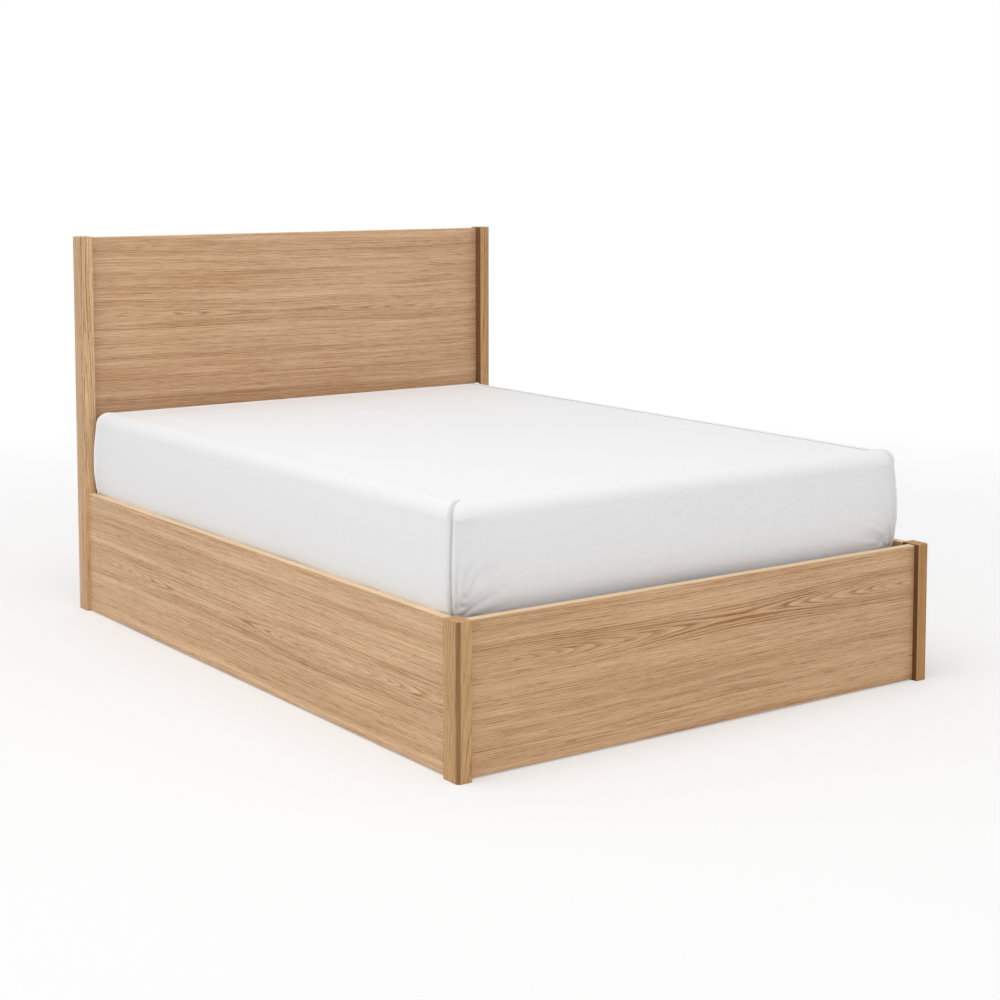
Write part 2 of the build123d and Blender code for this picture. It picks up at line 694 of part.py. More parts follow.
PLATE_X = RAIL_INNER_X - LIFT_PLATE
REAR_ARM_OUT = PLATE_X - LAYER_GAP
REAR_ARM_IN = REAR_ARM_OUT - ARM_THICK
BRACKET_IN = SIDE_TUBE_OUTER_X
BRACKET_OUT = BRACKET_IN + BRACKET_THICK
FRONT_ARM_OUT = BRACKET_IN - LAYER_GAP
FRONT_ARM_IN = FRONT_ARM_OUT - ARM_THICK
STRUT_X = RAIL_INNER_X - STRUT_CENTRE_FROM_RAIL


def moved(point, step):
    """A point of the side view, moved by a step."""
    return (point[0] + step[0], point[1] + step[1])


def polar(length, degrees):
    """A step of the side view by length and angle."""
    return (length * math.cos(math.radians(degrees)), length * math.sin(math.radians(degrees)))


REAR_PIVOT = (REAR_PIVOT_REACH, REAR_PIVOT_Z)
FRONT_PIVOT = (FRONT_PIVOT_REACH, FRONT_PIVOT_Z)
STRUT_PIVOT = (STRUT_PIVOT_REACH, STRUT_PIVOT_Z)
REAR_PIN = moved(REAR_PIVOT, polar(REAR_ARM_LENGTH, REAR_ARM_ANGLE))
FRONT_PIN = moved(REAR_PIN, FRONT_PIN_FROM_REAR_PIN)
FRONT_EYE = moved(FRONT_PIN, (-FRONT_PIN_OFF_CENTRE[0], -FRONT_PIN_OFF_CENTRE[1]))
STRUT_PIN = moved(REAR_PIN, STRUT_PIN_FROM_REAR_PIN)
STRUT_EYE = moved(STRUT_PIN, (-STRUT_PIN_OFF_CENTRE[0], -STRUT_PIN_OFF_CENTRE[1]))


def side_view(x):
    """The side view's plane at x, facing inwards."""
    return Plane(origin=(x, HEAD_FACE_Y, 0), x_dir=(0, -1, 0), z_dir=(-1, 0, 0))


def flat(sketch, x_outer, thick):
    """A flat piece of the side view, from x_outer inwards."""
    return extrude(side_view(x_outer) * sketch, thick)


def disc(centre, radius):
    """A disc of the side view."""
    return Pos(*centre) * Circle(radius)


def bar(start, end, width):
    """A flat bar with round ends."""
    length = math.dist(start, end)
    turn = math.degrees(math.atan2(end[1] - start[1], end[0] - start[0]))
    middle = ((start[0] + end[0]) / 2, (start[1] + end[1]) / 2)
    return Pos(*middle) * Rot(0, 0, turn) * SlotCenterToCenter(length, width)


def cylinder_at(centre, radius, x0, x1):
    """A round bar across the side view."""
    return round_x(radius, x0, x1, HEAD_FACE_Y - centre[0], centre[1])


def plate_screw_places():
    """Where the lift plate is screwed to the rail."""
    places = [moved(REAR_PIVOT, step) for step in SCREWS_BY_REAR_PIVOT]
    places += [moved(FRONT_PIVOT, step) for step in SCREWS_BY_FRONT_PIVOT]
    return places + [moved(STRUT_PIVOT, step) for step in SCREWS_BY_STRUT_PIVOT]


def hexagon_head(centre, radius, x, thick):
    """A hexagon bolt head of the side view, from x outwards."""
    return flat(Pos(*centre) * RegularPolygon(radius, 6), x + thick, thick)


def lift_plate():
    """The pressed steel plate screwed to the rail, with the three fixed pivots."""
    rear, front, strut = PLATE_EYE_RADII
    rims = [disc(REAR_PIVOT, rear), disc(FRONT_PIVOT, front), disc(STRUT_PIVOT, strut)]
    outline = make_hull([edge for rim in rims for edge in rim.edges()])
    middle = (
        (REAR_PIVOT[0] + FRONT_PIVOT[0] + STRUT_PIVOT[0]) / 3,
        (REAR_PIVOT[1] + FRONT_PIVOT[1] + STRUT_PIVOT[1]) / 3,
    )
    outline = outline - disc(middle, PLATE_WINDOW_RADIUS)
    for place in plate_screw_places():
        outline = outline - disc(place, PLATE_SCREW_HOLE)
    return flat(outline, RAIL_INNER_X, LIFT_PLATE)


def fixed_pins():
    """Pivot studs welded to the lift plate, one per fixed pivot."""
    rear_end = REAR_ARM_IN - PIN_CLEARANCE
    front_end = FRONT_ARM_IN - PIN_CLEARANCE
    thick = PIN_HEAD_THICK
    rear = cylinder_at(REAR_PIVOT, PIN_RADIUS, rear_end, PLATE_X)
    rear += hexagon_head(REAR_PIVOT, PIN_HEAD_RADIUS, rear_end - thick, thick)
    front = cylinder_at(FRONT_PIVOT, PIN_COLLAR_RADIUS, FRONT_ARM_OUT + PIN_CLEARANCE, PLATE_X)
    front += cylinder_at(FRONT_PIVOT, PIN_RADIUS, front_end, FRONT_ARM_OUT + PIN_CLEARANCE)
    front += hexagon_head(FRONT_PIVOT, PIN_HEAD_RADIUS, front_end - thick, thick)
    return [rear, front, strut_stud(STRUT_PIVOT, PLATE_X)]


def strut_stud(centre, x_outer):
    """A stud that carries one end of the gas strut, with a nut on its tip."""
    eye_out = STRUT_X + EYE_WIDTH / 2
    eye_in = STRUT_X - EYE_WIDTH / 2
    clip = eye_in - CLIP_GAP
    stud = cylinder_at(centre, STUD_RADIUS, clip, x_outer)
    stud += hexagon_head(centre, CLIP_RADIUS, clip - CLIP_THICK, CLIP_THICK)
    return stud + hexagon_head(centre, CLIP_RADIUS, eye_out + CLIP_GAP, CLIP_THICK)


def rear_arm():
    """The rear arm, a flat bar between its two pivots."""
    hole = PIN_RADIUS + PIN_CLEARANCE
    outline = bar(REAR_PIVOT, REAR_PIN, ARM_WIDTH) - disc(REAR_PIVOT, hole) - disc(REAR_PIN, hole)
    return flat(outline, REAR_ARM_OUT, ARM_THICK)


def front_arm():
    """The front arm; its upper eye leaves room for the pin to wander."""
    outline = bar(FRONT_PIVOT, FRONT_EYE, ARM_WIDTH) + disc(FRONT_EYE, FRONT_ARM_EYE_RADIUS)
    outline = outline - disc(FRONT_PIVOT, PIN_RADIUS + PIN_CLEARANCE)
    outline = outline - disc(FRONT_EYE, FRONT_PIN_RADIUS + FRONT_PIN_WANDER + PIN_CLEARANCE)
    return flat(outline, FRONT_ARM_OUT, ARM_THICK)


def lift_bracket():
    """The plate bolted to the platform's side tube, with the three moving pivots."""
    low = TUBE_BOTTOM
    top = TUBE_TOP
    eyes = [disc(STRUT_PIN, BRACKET_EYE_RADIUS), disc(FRONT_PIN, BRACKET_EYE_RADIUS)]
    start = BRACKET_FLANGE_START
    upper = Line((start, top), (BRACKET_SHOULDER, top))
    outline = make_hull([edge for eye in eyes for edge in eye.edges()] + [upper])
    long_middle = ((start + BRACKET_FLANGE_END) / 2, (low + top) / 2)
    outline += Pos(*long_middle) * Rectangle(BRACKET_FLANGE_END - start, top - low)
    for reach in BRACKET_BOLTS:
        outline = outline - disc((reach, (low + top) / 2), BOLT_HOLE)
    return flat(outline, BRACKET_OUT, BRACKET_THICK)


def bracket_pins():
    """Pivot studs welded to the lift bracket."""
    rear = cylinder_at(REAR_PIN, PIN_RADIUS, BRACKET_OUT, REAR_ARM_OUT + PIN_CLEARANCE)
    head_out = REAR_ARM_OUT + PIN_CLEARANCE
    rear += cylinder_at(REAR_PIN, PIN_HEAD_RADIUS, head_out, head_out + PIN_HEAD_THICK)
    head_in = FRONT_ARM_IN - PIN_CLEARANCE
    front = cylinder_at(FRONT_PIN, FRONT_PIN_RADIUS, head_in, BRACKET_IN)
    front += cylinder_at(FRONT_PIN, FRONT_PIN_CAP_RADIUS, head_in - PIN_HEAD_THICK, head_in)
    return [rear, front, strut_stud(STRUT_PIN, BRACKET_IN)]


def bracket_bolt(y, z):
    """A hexagon bolt through the lift bracket into the side tube's outer wall."""
    bolt = round_x(BOLT_RADIUS, SIDE_TUBE_OUTER_X - BRACKET_BOLT_GRIP, BRACKET_OUT, y, z)
    return bolt + hexagon_head((HEAD_FACE_Y - y, z), BRACKET_BOLT_HEAD, BRACKET_OUT, BRACKET_BOLT_HEAD_THICK)


# Gas strut, drawn along its own axis from the fixed pivot to the moving eye

def strut_line():
    """The strut's length and its plane: Z runs from the fixed pivot to the moving eye."""
    length = math.dist(STRUT_PIVOT, STRUT_EYE)
    step = (STRUT_EYE[0] - STRUT_PIVOT[0], STRUT_EYE[1] - STRUT_PIVOT[1])
    origin = (STRUT_X, HEAD_FACE_Y - STRUT_PIVOT[0], STRUT_PIVOT[1])
    return length, Plane(origin=origin, x_dir=(1, 0, 0), z_dir=(0, -step[0] / length, step[1] / length))


def along_strut(radius, start, stop):
    """A round bar on the strut's axis."""
    plane = strut_line()[1]
    return extrude(plane.offset(start) * Circle(radius), stop - start)


def strut_tube():
    """The strut's tube, closed at its foot, with a bored gland at its mouth."""
    end = STRUT_TUBE_START + STRUT_TUBE_LENGTH
    tube = along_strut(STRUT_RADIUS, STRUT_TUBE_START, end)
    tube -= along_strut(STRUT_RADIUS - STRUT_WALL, STRUT_TUBE_START + STRUT_CAP, end - STRUT_GLAND)
    return tube - along_strut(ROD_RADIUS + ROD_CLEARANCE, end - STRUT_GLAND, end)


def rod_end():
    """Distance along the strut to where the rod meets its eye's neck."""
    return strut_line()[0] - 2 * EYE_RADIUS


def strut_rod():
    """The strut's rod with the piston on its inner end."""
    rod = along_strut(ROD_RADIUS, PISTON_START, rod_end())
    piston = along_strut(STRUT_RADIUS - STRUT_WALL - ROD_CLEARANCE, PISTON_START, PISTON_START + PISTON_LENGTH)
    return rod + piston


def strut_eye(centre, radius, bore, neck_start, neck_stop):
    """A moulded eye fitting with a flat-sided neck along the strut's axis."""
    x0 = STRUT_X - EYE_WIDTH / 2
    eye = cylinder_at(centre, radius, x0, x0 + EYE_WIDTH)
    neck = Rectangle(EYE_WIDTH, EYE_NECK)
    eye += extrude(strut_line()[1].offset(neck_start) * neck, neck_stop - neck_start)
    return eye - cylinder_at(centre, bore, x0, x0 + EYE_WIDTH)


def write_linkage():
    """Plates, arms, bracket, pins and gas strut of both sides."""
    write_pair("lift_plate", lift_plate())
    write_pair("fixed_pins", *fixed_pins())
    write_pair("rear_arm", rear_arm())
    write_pair("front_arm", front_arm())
    write_pair("lift_bracket", lift_bracket())
    write_pair("bracket_pins", *bracket_pins())
    bolts = [bracket_bolt(y, z) for y, z in bracket_bolt_places()]
    write("bracket_bolts", *bolts, *[mirrored(bolt) for bolt in bolts])
    bore = STUD_RADIUS + PIN_CLEARANCE
    open_bore = bore + STRUT_PIN_WANDER
    length = strut_line()[0]
    write_pair("strut_tube", strut_tube())
    write_pair("strut_foot_eye", strut_eye(STRUT_PIVOT, EYE_RADIUS, bore, 0, STRUT_TUBE_START))
    write_pair("strut_rod", strut_rod())
    write_pair("strut_rod_eye", strut_eye(STRUT_EYE, OPEN_EYE_RADIUS, open_bore, rod_end(), length))


def main():
    """Write every node."""
    write_frame()
    write_storage_floor()
    write_ledges()
    write_platform_frame()
    write_slats()
    write_mattress()
    write_foot_fittings()
    write_linkage()


main()
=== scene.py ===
import math

import bmesh
import bpy
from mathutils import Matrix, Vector, noise


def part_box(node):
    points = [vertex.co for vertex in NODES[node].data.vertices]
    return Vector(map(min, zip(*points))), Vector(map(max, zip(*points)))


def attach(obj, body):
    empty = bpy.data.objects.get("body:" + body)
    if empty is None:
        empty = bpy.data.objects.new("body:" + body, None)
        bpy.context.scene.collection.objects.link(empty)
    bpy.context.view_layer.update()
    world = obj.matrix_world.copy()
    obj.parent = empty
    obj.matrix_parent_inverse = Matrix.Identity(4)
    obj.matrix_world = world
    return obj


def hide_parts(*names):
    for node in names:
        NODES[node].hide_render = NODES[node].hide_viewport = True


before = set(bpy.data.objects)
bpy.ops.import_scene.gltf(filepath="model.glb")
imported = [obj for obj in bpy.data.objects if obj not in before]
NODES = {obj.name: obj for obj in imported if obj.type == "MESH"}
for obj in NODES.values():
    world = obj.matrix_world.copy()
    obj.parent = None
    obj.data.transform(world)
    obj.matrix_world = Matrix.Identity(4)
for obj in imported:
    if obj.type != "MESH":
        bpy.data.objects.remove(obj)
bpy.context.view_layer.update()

# The ottoman bed's looks. Lengths are in metres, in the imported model's own frame:
# +Y points to the head end, +Z up, and the origin is on the floor under the bed's middle.

# The bed's two sides, each with the way along X that its inner faces look
SIDES = (("left", 1), ("right", -1))

# Camera, fitted to the photograph's corners
CAMERA_PLACE = (-2.9474, -4.2815, 1.3208)
CAMERA_YAW = 0.61787
CAMERA_PITCH = -0.08805
CAMERA_LENS = 68.92
CAMERA_SENSOR = 36.0
CAMERA_SHIFT = -0.17

# Light
WORLD_LIGHT = 0.70
KEY_POWER = 118.0
KEY_SIZE = 3.5
KEY_PLACE = (-1.9, -0.9, 5.5)
KEY_TARGET = (0.0, 0.0, 0.3)
FILL_POWER = 12.0
FILL_SIZE = 4.0
FILL_PLACE = (-0.6, -5.6, 1.6)

# Floor
FLOOR_RADIUS = 60.0
FLOOR_NEAR = 0.9
FLOOR_FAR = 4.5
FLOOR_WHITE = 0.93
FLOOR_LIFT = 0.3

# Wood. The log's middle comes and goes along the grain by BOLE_WAVE, in radians a metre.
BOLE_WAVE = 2.3
HEART_WANDER = 0.06
RING_SHAKE = 0.006
RING_SPACING = 0.0038
WIDE_RING_SPACING = 0.005
PORE_DEPTH = 0.00025
LEAST_ROUGH = 0.46
MOST_ROUGH = 0.58
ARRIS_WIDTH = 0.0022

# Where the arrises with a painted highlight lie
POST_ARRIS_X = 0.687
FOOT_ARRIS_Y = -1.0
HEAD_ARRIS_Y = 0.943
HEADBOARD_TOP = 1.099
RAIL_TOP = 0.349

# Birch slats: how far from the bed's middle each one's own middle lies, its bow and its layers
SLAT_MIDDLE = 0.335
SLAT_BOW = 0.012
PLY_LAYER = 0.00115

# Pitch of the threads
WEBBING_PITCH = 0.0016
TICKING_PITCH = 0.003

# Screw heads: counts along each piece, radii and form
LEDGE_SCREWS = 5
BATTEN_SCREWS = 6
BOARD_SCREWS = 8
WOOD_SCREW = 0.0042
BOARD_SCREW = 0.0036
PLATE_SCREW = 0.0048
BOARD_MARGIN = 0.02
SCREW_SIDES = 16
SCREW_LEVELS = ((1.0, 0.0), (0.98, 0.00035), (0.8, 0.0008), (0.52, 0.00105))
RECESS_RIM = 0.0010
RECESS_DEPTH = 0.0006
RECESS_WAIST = 0.14
RECESS_ARM = 0.34
# Lift plates' screws, as places along and above: beside the pivots that the plates carry
PLATE_SCREWS = ((0.576, 0.173), (0.223, 0.060), (0.669, 0.050), (0.787, 0.050))

# Welds
WELD_STEP = 0.002
WELD_RADIUS = 0.0026
WELD_RIPPLE = 0.0004
WELD_SWELL = 0.0003
WELD_SIDES = 5
WELD_LAP = 0.0012
TUBES_APART = 0.1

# Fitted sheet and mattress: their outline and the levels of the cloth
CORNER_RADIUS = 0.042
LEAST_RADIUS = 0.0015
EDGE_RADIUS = 0.040
HEM_REACH = 0.020
HEM_DROP = 0.0012
HEM_FOLD = 0.006
LOW_INSET = 0.007
HIGH_INSET = 0.006
CROWN_RISE = 0.012
CROWN_REACH = 0.14
RIPPLE_LONG = 0.0007
RIPPLE_SHORT = 0.0003
RIPPLE_START = 0.03
RIPPLE_FADE = 0.1
# Steps round the outline, and how close together they lie where they are closest, by share
SIDE_STEPS = (60, 44, 60, 44)
SIDE_FINEST = 0.22
CORNER_STEPS = 22
CORNER_FINEST = 0.3
HEM_LEVELS = 3
FOLD_LEVELS = 5
SIDE_LEVELS = 36
EDGE_LEVELS = 14
# How far each side of the bedding lies beyond (+) or inside (-) its plain solid
SLACK_LEFT = 0.018
SLACK_RIGHT = 0.006
SLACK_FOOT = -0.009
SLACK_HEAD = -0.006
CORE_DROP = 0.010
CORE_INSET = 0.013

# Seams at the corners. Their shares along the arcs are each nearer to the long side.
SEAM_SHARES = (0.3, 0.7, 0.3, 0.7)
SEAM_HEIGHT = 0.0065
SEAM_WIDTH = 0.0023
SEAM_BOW = 0.006
SEAM_BOW_WIDTH = 0.012
EAR_RISES = (0.004, 0.003, 0.010, 0.005)
EAR_WIDTH = 0.007
EAR_LEAN = 0.6
# Grooves beside a seam, as (place, width, depth, painted shade): the deeper one faces the bed's end
GROOVES = ((0.0058, 0.0019, 0.0036, 0.8), (-0.0052, 0.0017, 0.0014, 0.1))

# Creases that fan out from a corner's foot, and the corner's own drawing in
FAN_OFFSET = 0.01
FAN_START = 0.035
FAN_GROWTH = 0.02
FAN_REACH = 0.21
FAN_DEPTH = 0.0048
FAN_PHASE = 25.0
FAN_SHAKE = 9.0
FAN_SIDE_SHARE = 0.25
CORNER_PULL = 0.014
PULL_REACH = 0.11
PULL_HEIGHT = 0.15
HOLLOW_DEPTH = 0.0045
HOLLOW_PLACE = 0.035
HOLLOW_WIDTH = 0.03
WAVES_HEIGHT = 0.2
WAVE_DEPTH = 0.0018
SWELL_DEPTH = 0.0014
# How much painted shade darkens the cloth of an end face beside its corners, and how far that reaches
BESIDE_SHADE = 0.16
BESIDE_REACH = 0.05
# How strongly painted shade darkens a crease's hollow, for each metre of its depth
CREASE_SHADE = 110.0


def srgb(red, green, blue):
    """A colour given in 0 to 255 steps, as the shaders' linear values."""
    linear = []
    for value in (red, green, blue):
        share = value / 255
        linear.append(share / 12.92 if share <= 0.04045 else ((share + 0.055) / 1.055) ** 2.4)
    return (*linear, 1.0)


class Graph:
    """A material's node tree, put together from short calls."""

    def __init__(self, name):
        self.material = bpy.data.materials.new(name)
        self.material.use_nodes = True
        self.tree = self.material.node_tree
        self.shader = self.tree.nodes["Principled BSDF"]

    def add(self, kind, **settings):
        node = self.tree.nodes.new(f"ShaderNode{kind}")
        for name, value in settings.items():
            setattr(node, name, value)
        return node

    def put(self, socket, value):
        if isinstance(value, bpy.types.NodeSocket):
            self.tree.links.new(value, socket)
        else:
            socket.default_value = value

    def math(self, operation, first, second=0.0, clamp=False):
        node = self.add("Math", operation=operation, use_clamp=clamp)
        self.put(node.inputs[0], first)
        self.put(node.inputs[1], second)
        return node.outputs[0]

    def parts(self, vector):
        """A vector's x, y and z sockets."""
        split = self.add("SeparateXYZ")
        self.put(split.inputs[0], vector)
        return list(split.outputs)

    def place(self):
        """The point in the bed's frame at rest, as x, y and z sockets."""
        return self.parts(self.add("TexCoord").outputs["Object"])

    def facing(self):
        """The way that the surface faces, as x, y and z sockets."""
        return self.parts(self.add("TexCoord").outputs["Normal"])

    def total(self, *terms):
        """The sum of (socket, weight) pairs."""
        whole = 0.0
        for socket, weight in terms:
            whole = self.math("ADD", whole, self.math("MULTIPLY", socket, weight))
        return whole

    def swayed(self, value, sway, amount):
        """A value moved either way within the amount, as the noise given says."""
        return self.math("ADD", value, self.math("MULTIPLY", self.math("SUBTRACT", sway, 0.5), amount))

    def vector(self, x, y, z):
        node = self.add("CombineXYZ")
        for socket, value in zip(node.inputs, (x, y, z)):
            self.put(socket, value)
        return node.outputs[0]

    def stretched(self, vector, scale):
        node = self.add("VectorMath", operation="MULTIPLY")
        self.put(node.inputs[0], vector)
        node.inputs[1].default_value = scale
        return node.outputs[0]

    def noise(self, vector, scale=1.0, detail=2.0, roughness=0.5, distortion=0.0):
        node = self.add("TexNoise")
        self.put(node.inputs["Vector"], vector)
        node.inputs["Scale"].default_value = scale
        node.inputs["Detail"].default_value = detail
        node.inputs["Roughness"].default_value = roughness
        node.inputs["Distortion"].default_value = distortion
        return node.outputs[0]

    def ramp(self, factor, *stops):
        """A colour ramp from (place, colour or grey value) pairs."""
        node = self.add("ValToRGB")
        self.put(node.inputs[0], factor)
        elements = node.color_ramp.elements
        while len(elements) < len(stops):
            elements.new(0.5)
        for element, (place, colour) in zip(elements, stops):
            element.position = place
            element.color = colour if isinstance(colour, tuple) else (colour, colour, colour, 1.0)
        return node.outputs[0]

    def mix(self, factor, first, second):
        node = self.add("MixRGB")
        self.put(node.inputs[0], factor)
        self.put(node.inputs[1], first)
        self.put(node.inputs[2], second)
        return node.outputs[0]

    def bump(self, height, distance, strength=1.0, normal=None):
        node = self.add("Bump")
        node.inputs["Strength"].default_value = strength
        node.inputs["Distance"].default_value = distance
        self.put(node.inputs["Height"], height)
        if normal is not None:
            self.put(node.inputs["Normal"], normal)
        return node.outputs[0]

    def finish(self, colour, roughness, normal=None, **constants):
        self.put(self.shader.inputs["Base Color"], colour)
        self.put(self.shader.inputs["Roughness"], roughness)
        if normal is not None:
            self.put(self.shader.inputs["Normal"], normal)
        for name, value in constants.items():
            self.shader.inputs[name.replace("_", " ")].default_value = value
        return self.material


# Woods

def near_plane(graph, place, plane):
    """1 at a plane given as (axis, value), falling to 0 within an arris's width."""
    axis, value = plane
    away = graph.math("ABSOLUTE", graph.math("SUBTRACT", place["XYZ".index(axis)], value))
    return graph.math("SUBTRACT", 1.0, graph.math("DIVIDE", away, ARRIS_WIDTH), clamp=True)


def year_rings(graph, point, along, across, depth, heart, spacing):
    """How strongly the early wood of the log's rings shows, from 0 to 1."""
    at, level, deep, reach = heart
    wander = graph.noise(graph.stretched(point, (0.9, 0.7, 0.7)), detail=1.0)
    side = graph.swayed(graph.math("SUBTRACT", across, level), wander, HEART_WANDER)
    low = graph.math("MULTIPLY", graph.math("SUBTRACT", along, at), BOLE_WAVE)
    low = graph.math("MULTIPLY", graph.math("SINE", low), reach)
    low = graph.math("ADD", graph.math("ADD", low, deep), depth)
    squares = graph.math("ADD", graph.math("POWER", side, 2.0), graph.math("POWER", low, 2.0))
    shaken = graph.noise(graph.stretched(point, (2.6, 13.0, 13.0)), detail=3.0)
    radius = graph.swayed(graph.math("SQRT", squares), shaken, RING_SHAKE)
    uneven = graph.noise(graph.vector(graph.math("MULTIPLY", radius, 45.0), 0.0, 0.0), detail=2.0)
    phase = graph.math("ADD", graph.math("DIVIDE", radius, spacing), graph.math("MULTIPLY", uneven, 4.0))
    ring = graph.math("FRACT", phase)
    early = graph.ramp(ring, (0.0, 0.3), (0.12, 1.0), (0.4, 0.45), (0.8, 0.0), (1.0, 0.2))
    year = graph.ramp(uneven, (0.35, 0.15), (0.65, 1.0))
    patch = graph.noise(graph.stretched(point, (1.6, 6.0, 6.0)), detail=2.0)
    shown = graph.ramp(patch, (0.3, 0.55), (0.6, 1.0))
    return graph.math("MULTIPLY", graph.math("MULTIPLY", early, year), shown)


def painted_side_shade_dark_corner(graph, colour, shaded_side, turned_dark):
    """A post's colour with painted shade on one side, and its rounded corner darker by the way it faces."""
    axis, way, share = shaded_side
    # Painted shade: faces turned the given way are darkened toward a shadowed brown. The rounded corner,
    # turned between X and Y, is darkened as well.
    x, y, z = graph.facing()
    facing = graph.math("MULTIPLY", (x, y, z)["XYZ".index(axis)], way)
    turned = graph.math("MULTIPLY", x, y)
    rounded = graph.ramp(graph.math("ABSOLUTE", turned), (0.15, 0.0), (0.42, turned_dark))
    colour = graph.mix(graph.ramp(facing, (0.6, 0.0), (0.9, share)), colour, srgb(88, 52, 28))
    return graph.mix(rounded, colour, srgb(112, 70, 30))


def wood(name, grain, light, dark, heart, spacing=RING_SPACING, pores=0.6, figure=0.3, edges=(),
         shaded_side=None, turned_dark=0.0):
    """Sawn wood. grain is the axis along the grain; heart is (place along, place across,
    depth, reach) of the log's middle, which sets where the arched figure lies. edges are the
    planes, or pairs of planes, whose arris is lightened by a painted highlight; shaded_side is
    (axis, way, share), the side of a post darkened by painted shade, whose rounded corner is darker by the
    share turned_dark."""
    graph = Graph(name)
    order = {"X": (0, 2, 1), "Y": (1, 2, 0), "Z": (2, 0, 1)}[grain]
    place = graph.place()
    along, across, depth = (place[i] for i in order)
    point = graph.vector(along, across, depth)
    figured = year_rings(graph, point, along, across, depth, heart, spacing)
    band = graph.noise(graph.stretched(point, (0.9, 24.0, 24.0)), detail=3.0, roughness=0.55)
    band = graph.ramp(band, (0.3, 0.0), (0.72, 1.0))
    streak = graph.noise(graph.stretched(point, (4.5, 620.0, 620.0)), detail=2.0, roughness=0.7)
    dash = graph.noise(graph.stretched(point, (20.0, 600.0, 600.0)), detail=2.0, roughness=0.7)
    pore = graph.ramp(dash, (0.53, 0.0), (0.6, 1.0))
    fine = graph.noise(graph.stretched(point, (95.0, 2300.0, 2300.0)), detail=1.0)
    fine = graph.ramp(fine, (0.52, 0.0), (0.7, 1.0))
    porous = graph.math("MULTIPLY", pore, graph.math("ADD", graph.math("MULTIPLY", figured, 0.7), 0.3))
    line = graph.ramp(streak, (0.38, 0.0), (0.62, 1.0))
    tone = graph.total((figured, figure), (band, 0.2), (line, 0.36), (porous, pores), (fine, 0.18 * pores))
    colour = graph.mix(graph.math("MINIMUM", tone, 1.0), light, dark)
    # Painted shade on a post's darker side, and its darker rounded corner.
    if shaded_side is not None:
        colour = painted_side_shade_dark_corner(graph, colour, shaded_side, turned_dark)
    # Painted highlight: a pale line along each given arris, standing in for light caught on the rounded
    # edge.
    for planes in edges:
        arris_highlight = 0.75
        for plane in planes:
            arris_highlight = graph.math("MULTIPLY", arris_highlight, near_plane(graph, place, plane))
        colour = graph.mix(arris_highlight, colour, srgb(240, 212, 172))
    rough = graph.ramp(streak, (0.3, LEAST_ROUGH), (0.8, MOST_ROUGH))
    height = graph.total((porous, -1.0), (fine, -0.5))
    return graph.finish(colour, rough, graph.bump(height, PORE_DEPTH, 0.5), Specular_IOR_Level=0.35)


def oak_veneer(name, grain, heart, light, top):
    """A panel's veneered oak, with a painted highlight along its top arris."""
    return wood(name, grain, light, srgb(156, 106, 60), heart, figure=0.78, edges=([("Z", top)],))


def solid_oak(name, heart, light, across, front, shaded_side, turned_dark):
    """A post's oak: its grain runs upright, and its arris beside the panel has a painted highlight."""
    edges = ([("X", across), ("Y", front)],)
    return wood(name, "Z", light, srgb(132, 84, 34), heart, WIDE_RING_SPACING, figure=0.42,
                edges=edges, shaded_side=shaded_side, turned_dark=turned_dark)


def softwood(name, grain):
    """Pale planed wood, as in ledges, battens and dowels."""
    heart = (0.0, 0.06, 0.05, 0.03)
    return wood(name, grain, srgb(232, 205, 158), srgb(196, 150, 92), heart, WIDE_RING_SPACING, pores=0.12)


def plywood():
    """Birch plywood slats with the layers' edges showing on their sides."""
    graph = Graph("birch_ply")
    x, y, z = graph.place()
    point = graph.vector(x, y, z)
    streak = graph.noise(graph.stretched(point, (4.0, 240.0, 240.0)), detail=3.0)
    band = graph.noise(graph.stretched(point, (1.5, 30.0, 30.0)), detail=1.0)
    tone = graph.total((streak, 0.6), (band, 0.4))
    face = graph.ramp(tone, (0.3, srgb(236, 214, 176)), (0.7, srgb(214, 184, 138)))
    reach = graph.math("SUBTRACT", graph.math("ABSOLUTE", x), SLAT_MIDDLE)
    reach = graph.math("DIVIDE", reach, SLAT_MIDDLE)
    bow = graph.math("MULTIPLY", graph.math("POWER", reach, 2.0), SLAT_BOW)
    layer = graph.math("FRACT", graph.math("DIVIDE", graph.math("ADD", z, bow), PLY_LAYER))
    glue = graph.ramp(layer, (0.0, 1.0), (0.16, 0.0), (0.84, 0.0), (1.0, 1.0))
    edge = graph.ramp(graph.math("ABSOLUTE", graph.facing()[1]), (0.6, 0.0), (0.8, 1.0))
    shown = graph.math("MULTIPLY", graph.math("MULTIPLY", glue, edge), 0.7)
    colour = graph.mix(shown, face, srgb(140, 100, 60))
    rough = graph.ramp(streak, (0.3, 0.34), (0.7, 0.46))
    return graph.finish(colour, rough, graph.bump(streak, 0.0001, 0.4), Coat_Weight=0.15)


def fibreboard():
    """Smooth brown hardboard."""
    graph = Graph("hardboard")
    point = graph.vector(*graph.place())
    fibre = graph.noise(point, scale=160.0, detail=6.0, roughness=0.7, distortion=1.2)
    cloud = graph.noise(point, scale=5.0, detail=3.0)
    tone = graph.total((fibre, 0.7), (cloud, 0.3))
    colour = graph.ramp(tone, (0.3, srgb(150, 112, 76)), (0.7, srgb(184, 146, 104)))
    rough = graph.ramp(fibre, (0.3, 0.5), (0.7, 0.62))
    return graph.finish(colour, rough, graph.bump(fibre, 0.00015, 0.5))


# Metals, plastics and fabrics

def powder_coat(name, colour, spot):
    """Powder coat: fine orange peel and slight tone changes."""
    graph = Graph(name)
    point = graph.vector(*graph.place())
    peel = graph.noise(point, scale=900.0, detail=2.0)
    cloud = graph.noise(point, scale=14.0, detail=3.0)
    tone = graph.ramp(cloud, (0.3, colour), (0.7, spot))
    rough = graph.ramp(graph.noise(point, scale=60.0, detail=3.0), (0.3, 0.36), (0.7, 0.5))
    return graph.finish(tone, rough, graph.bump(peel, 0.0001, 0.35), Specular_IOR_Level=0.5)


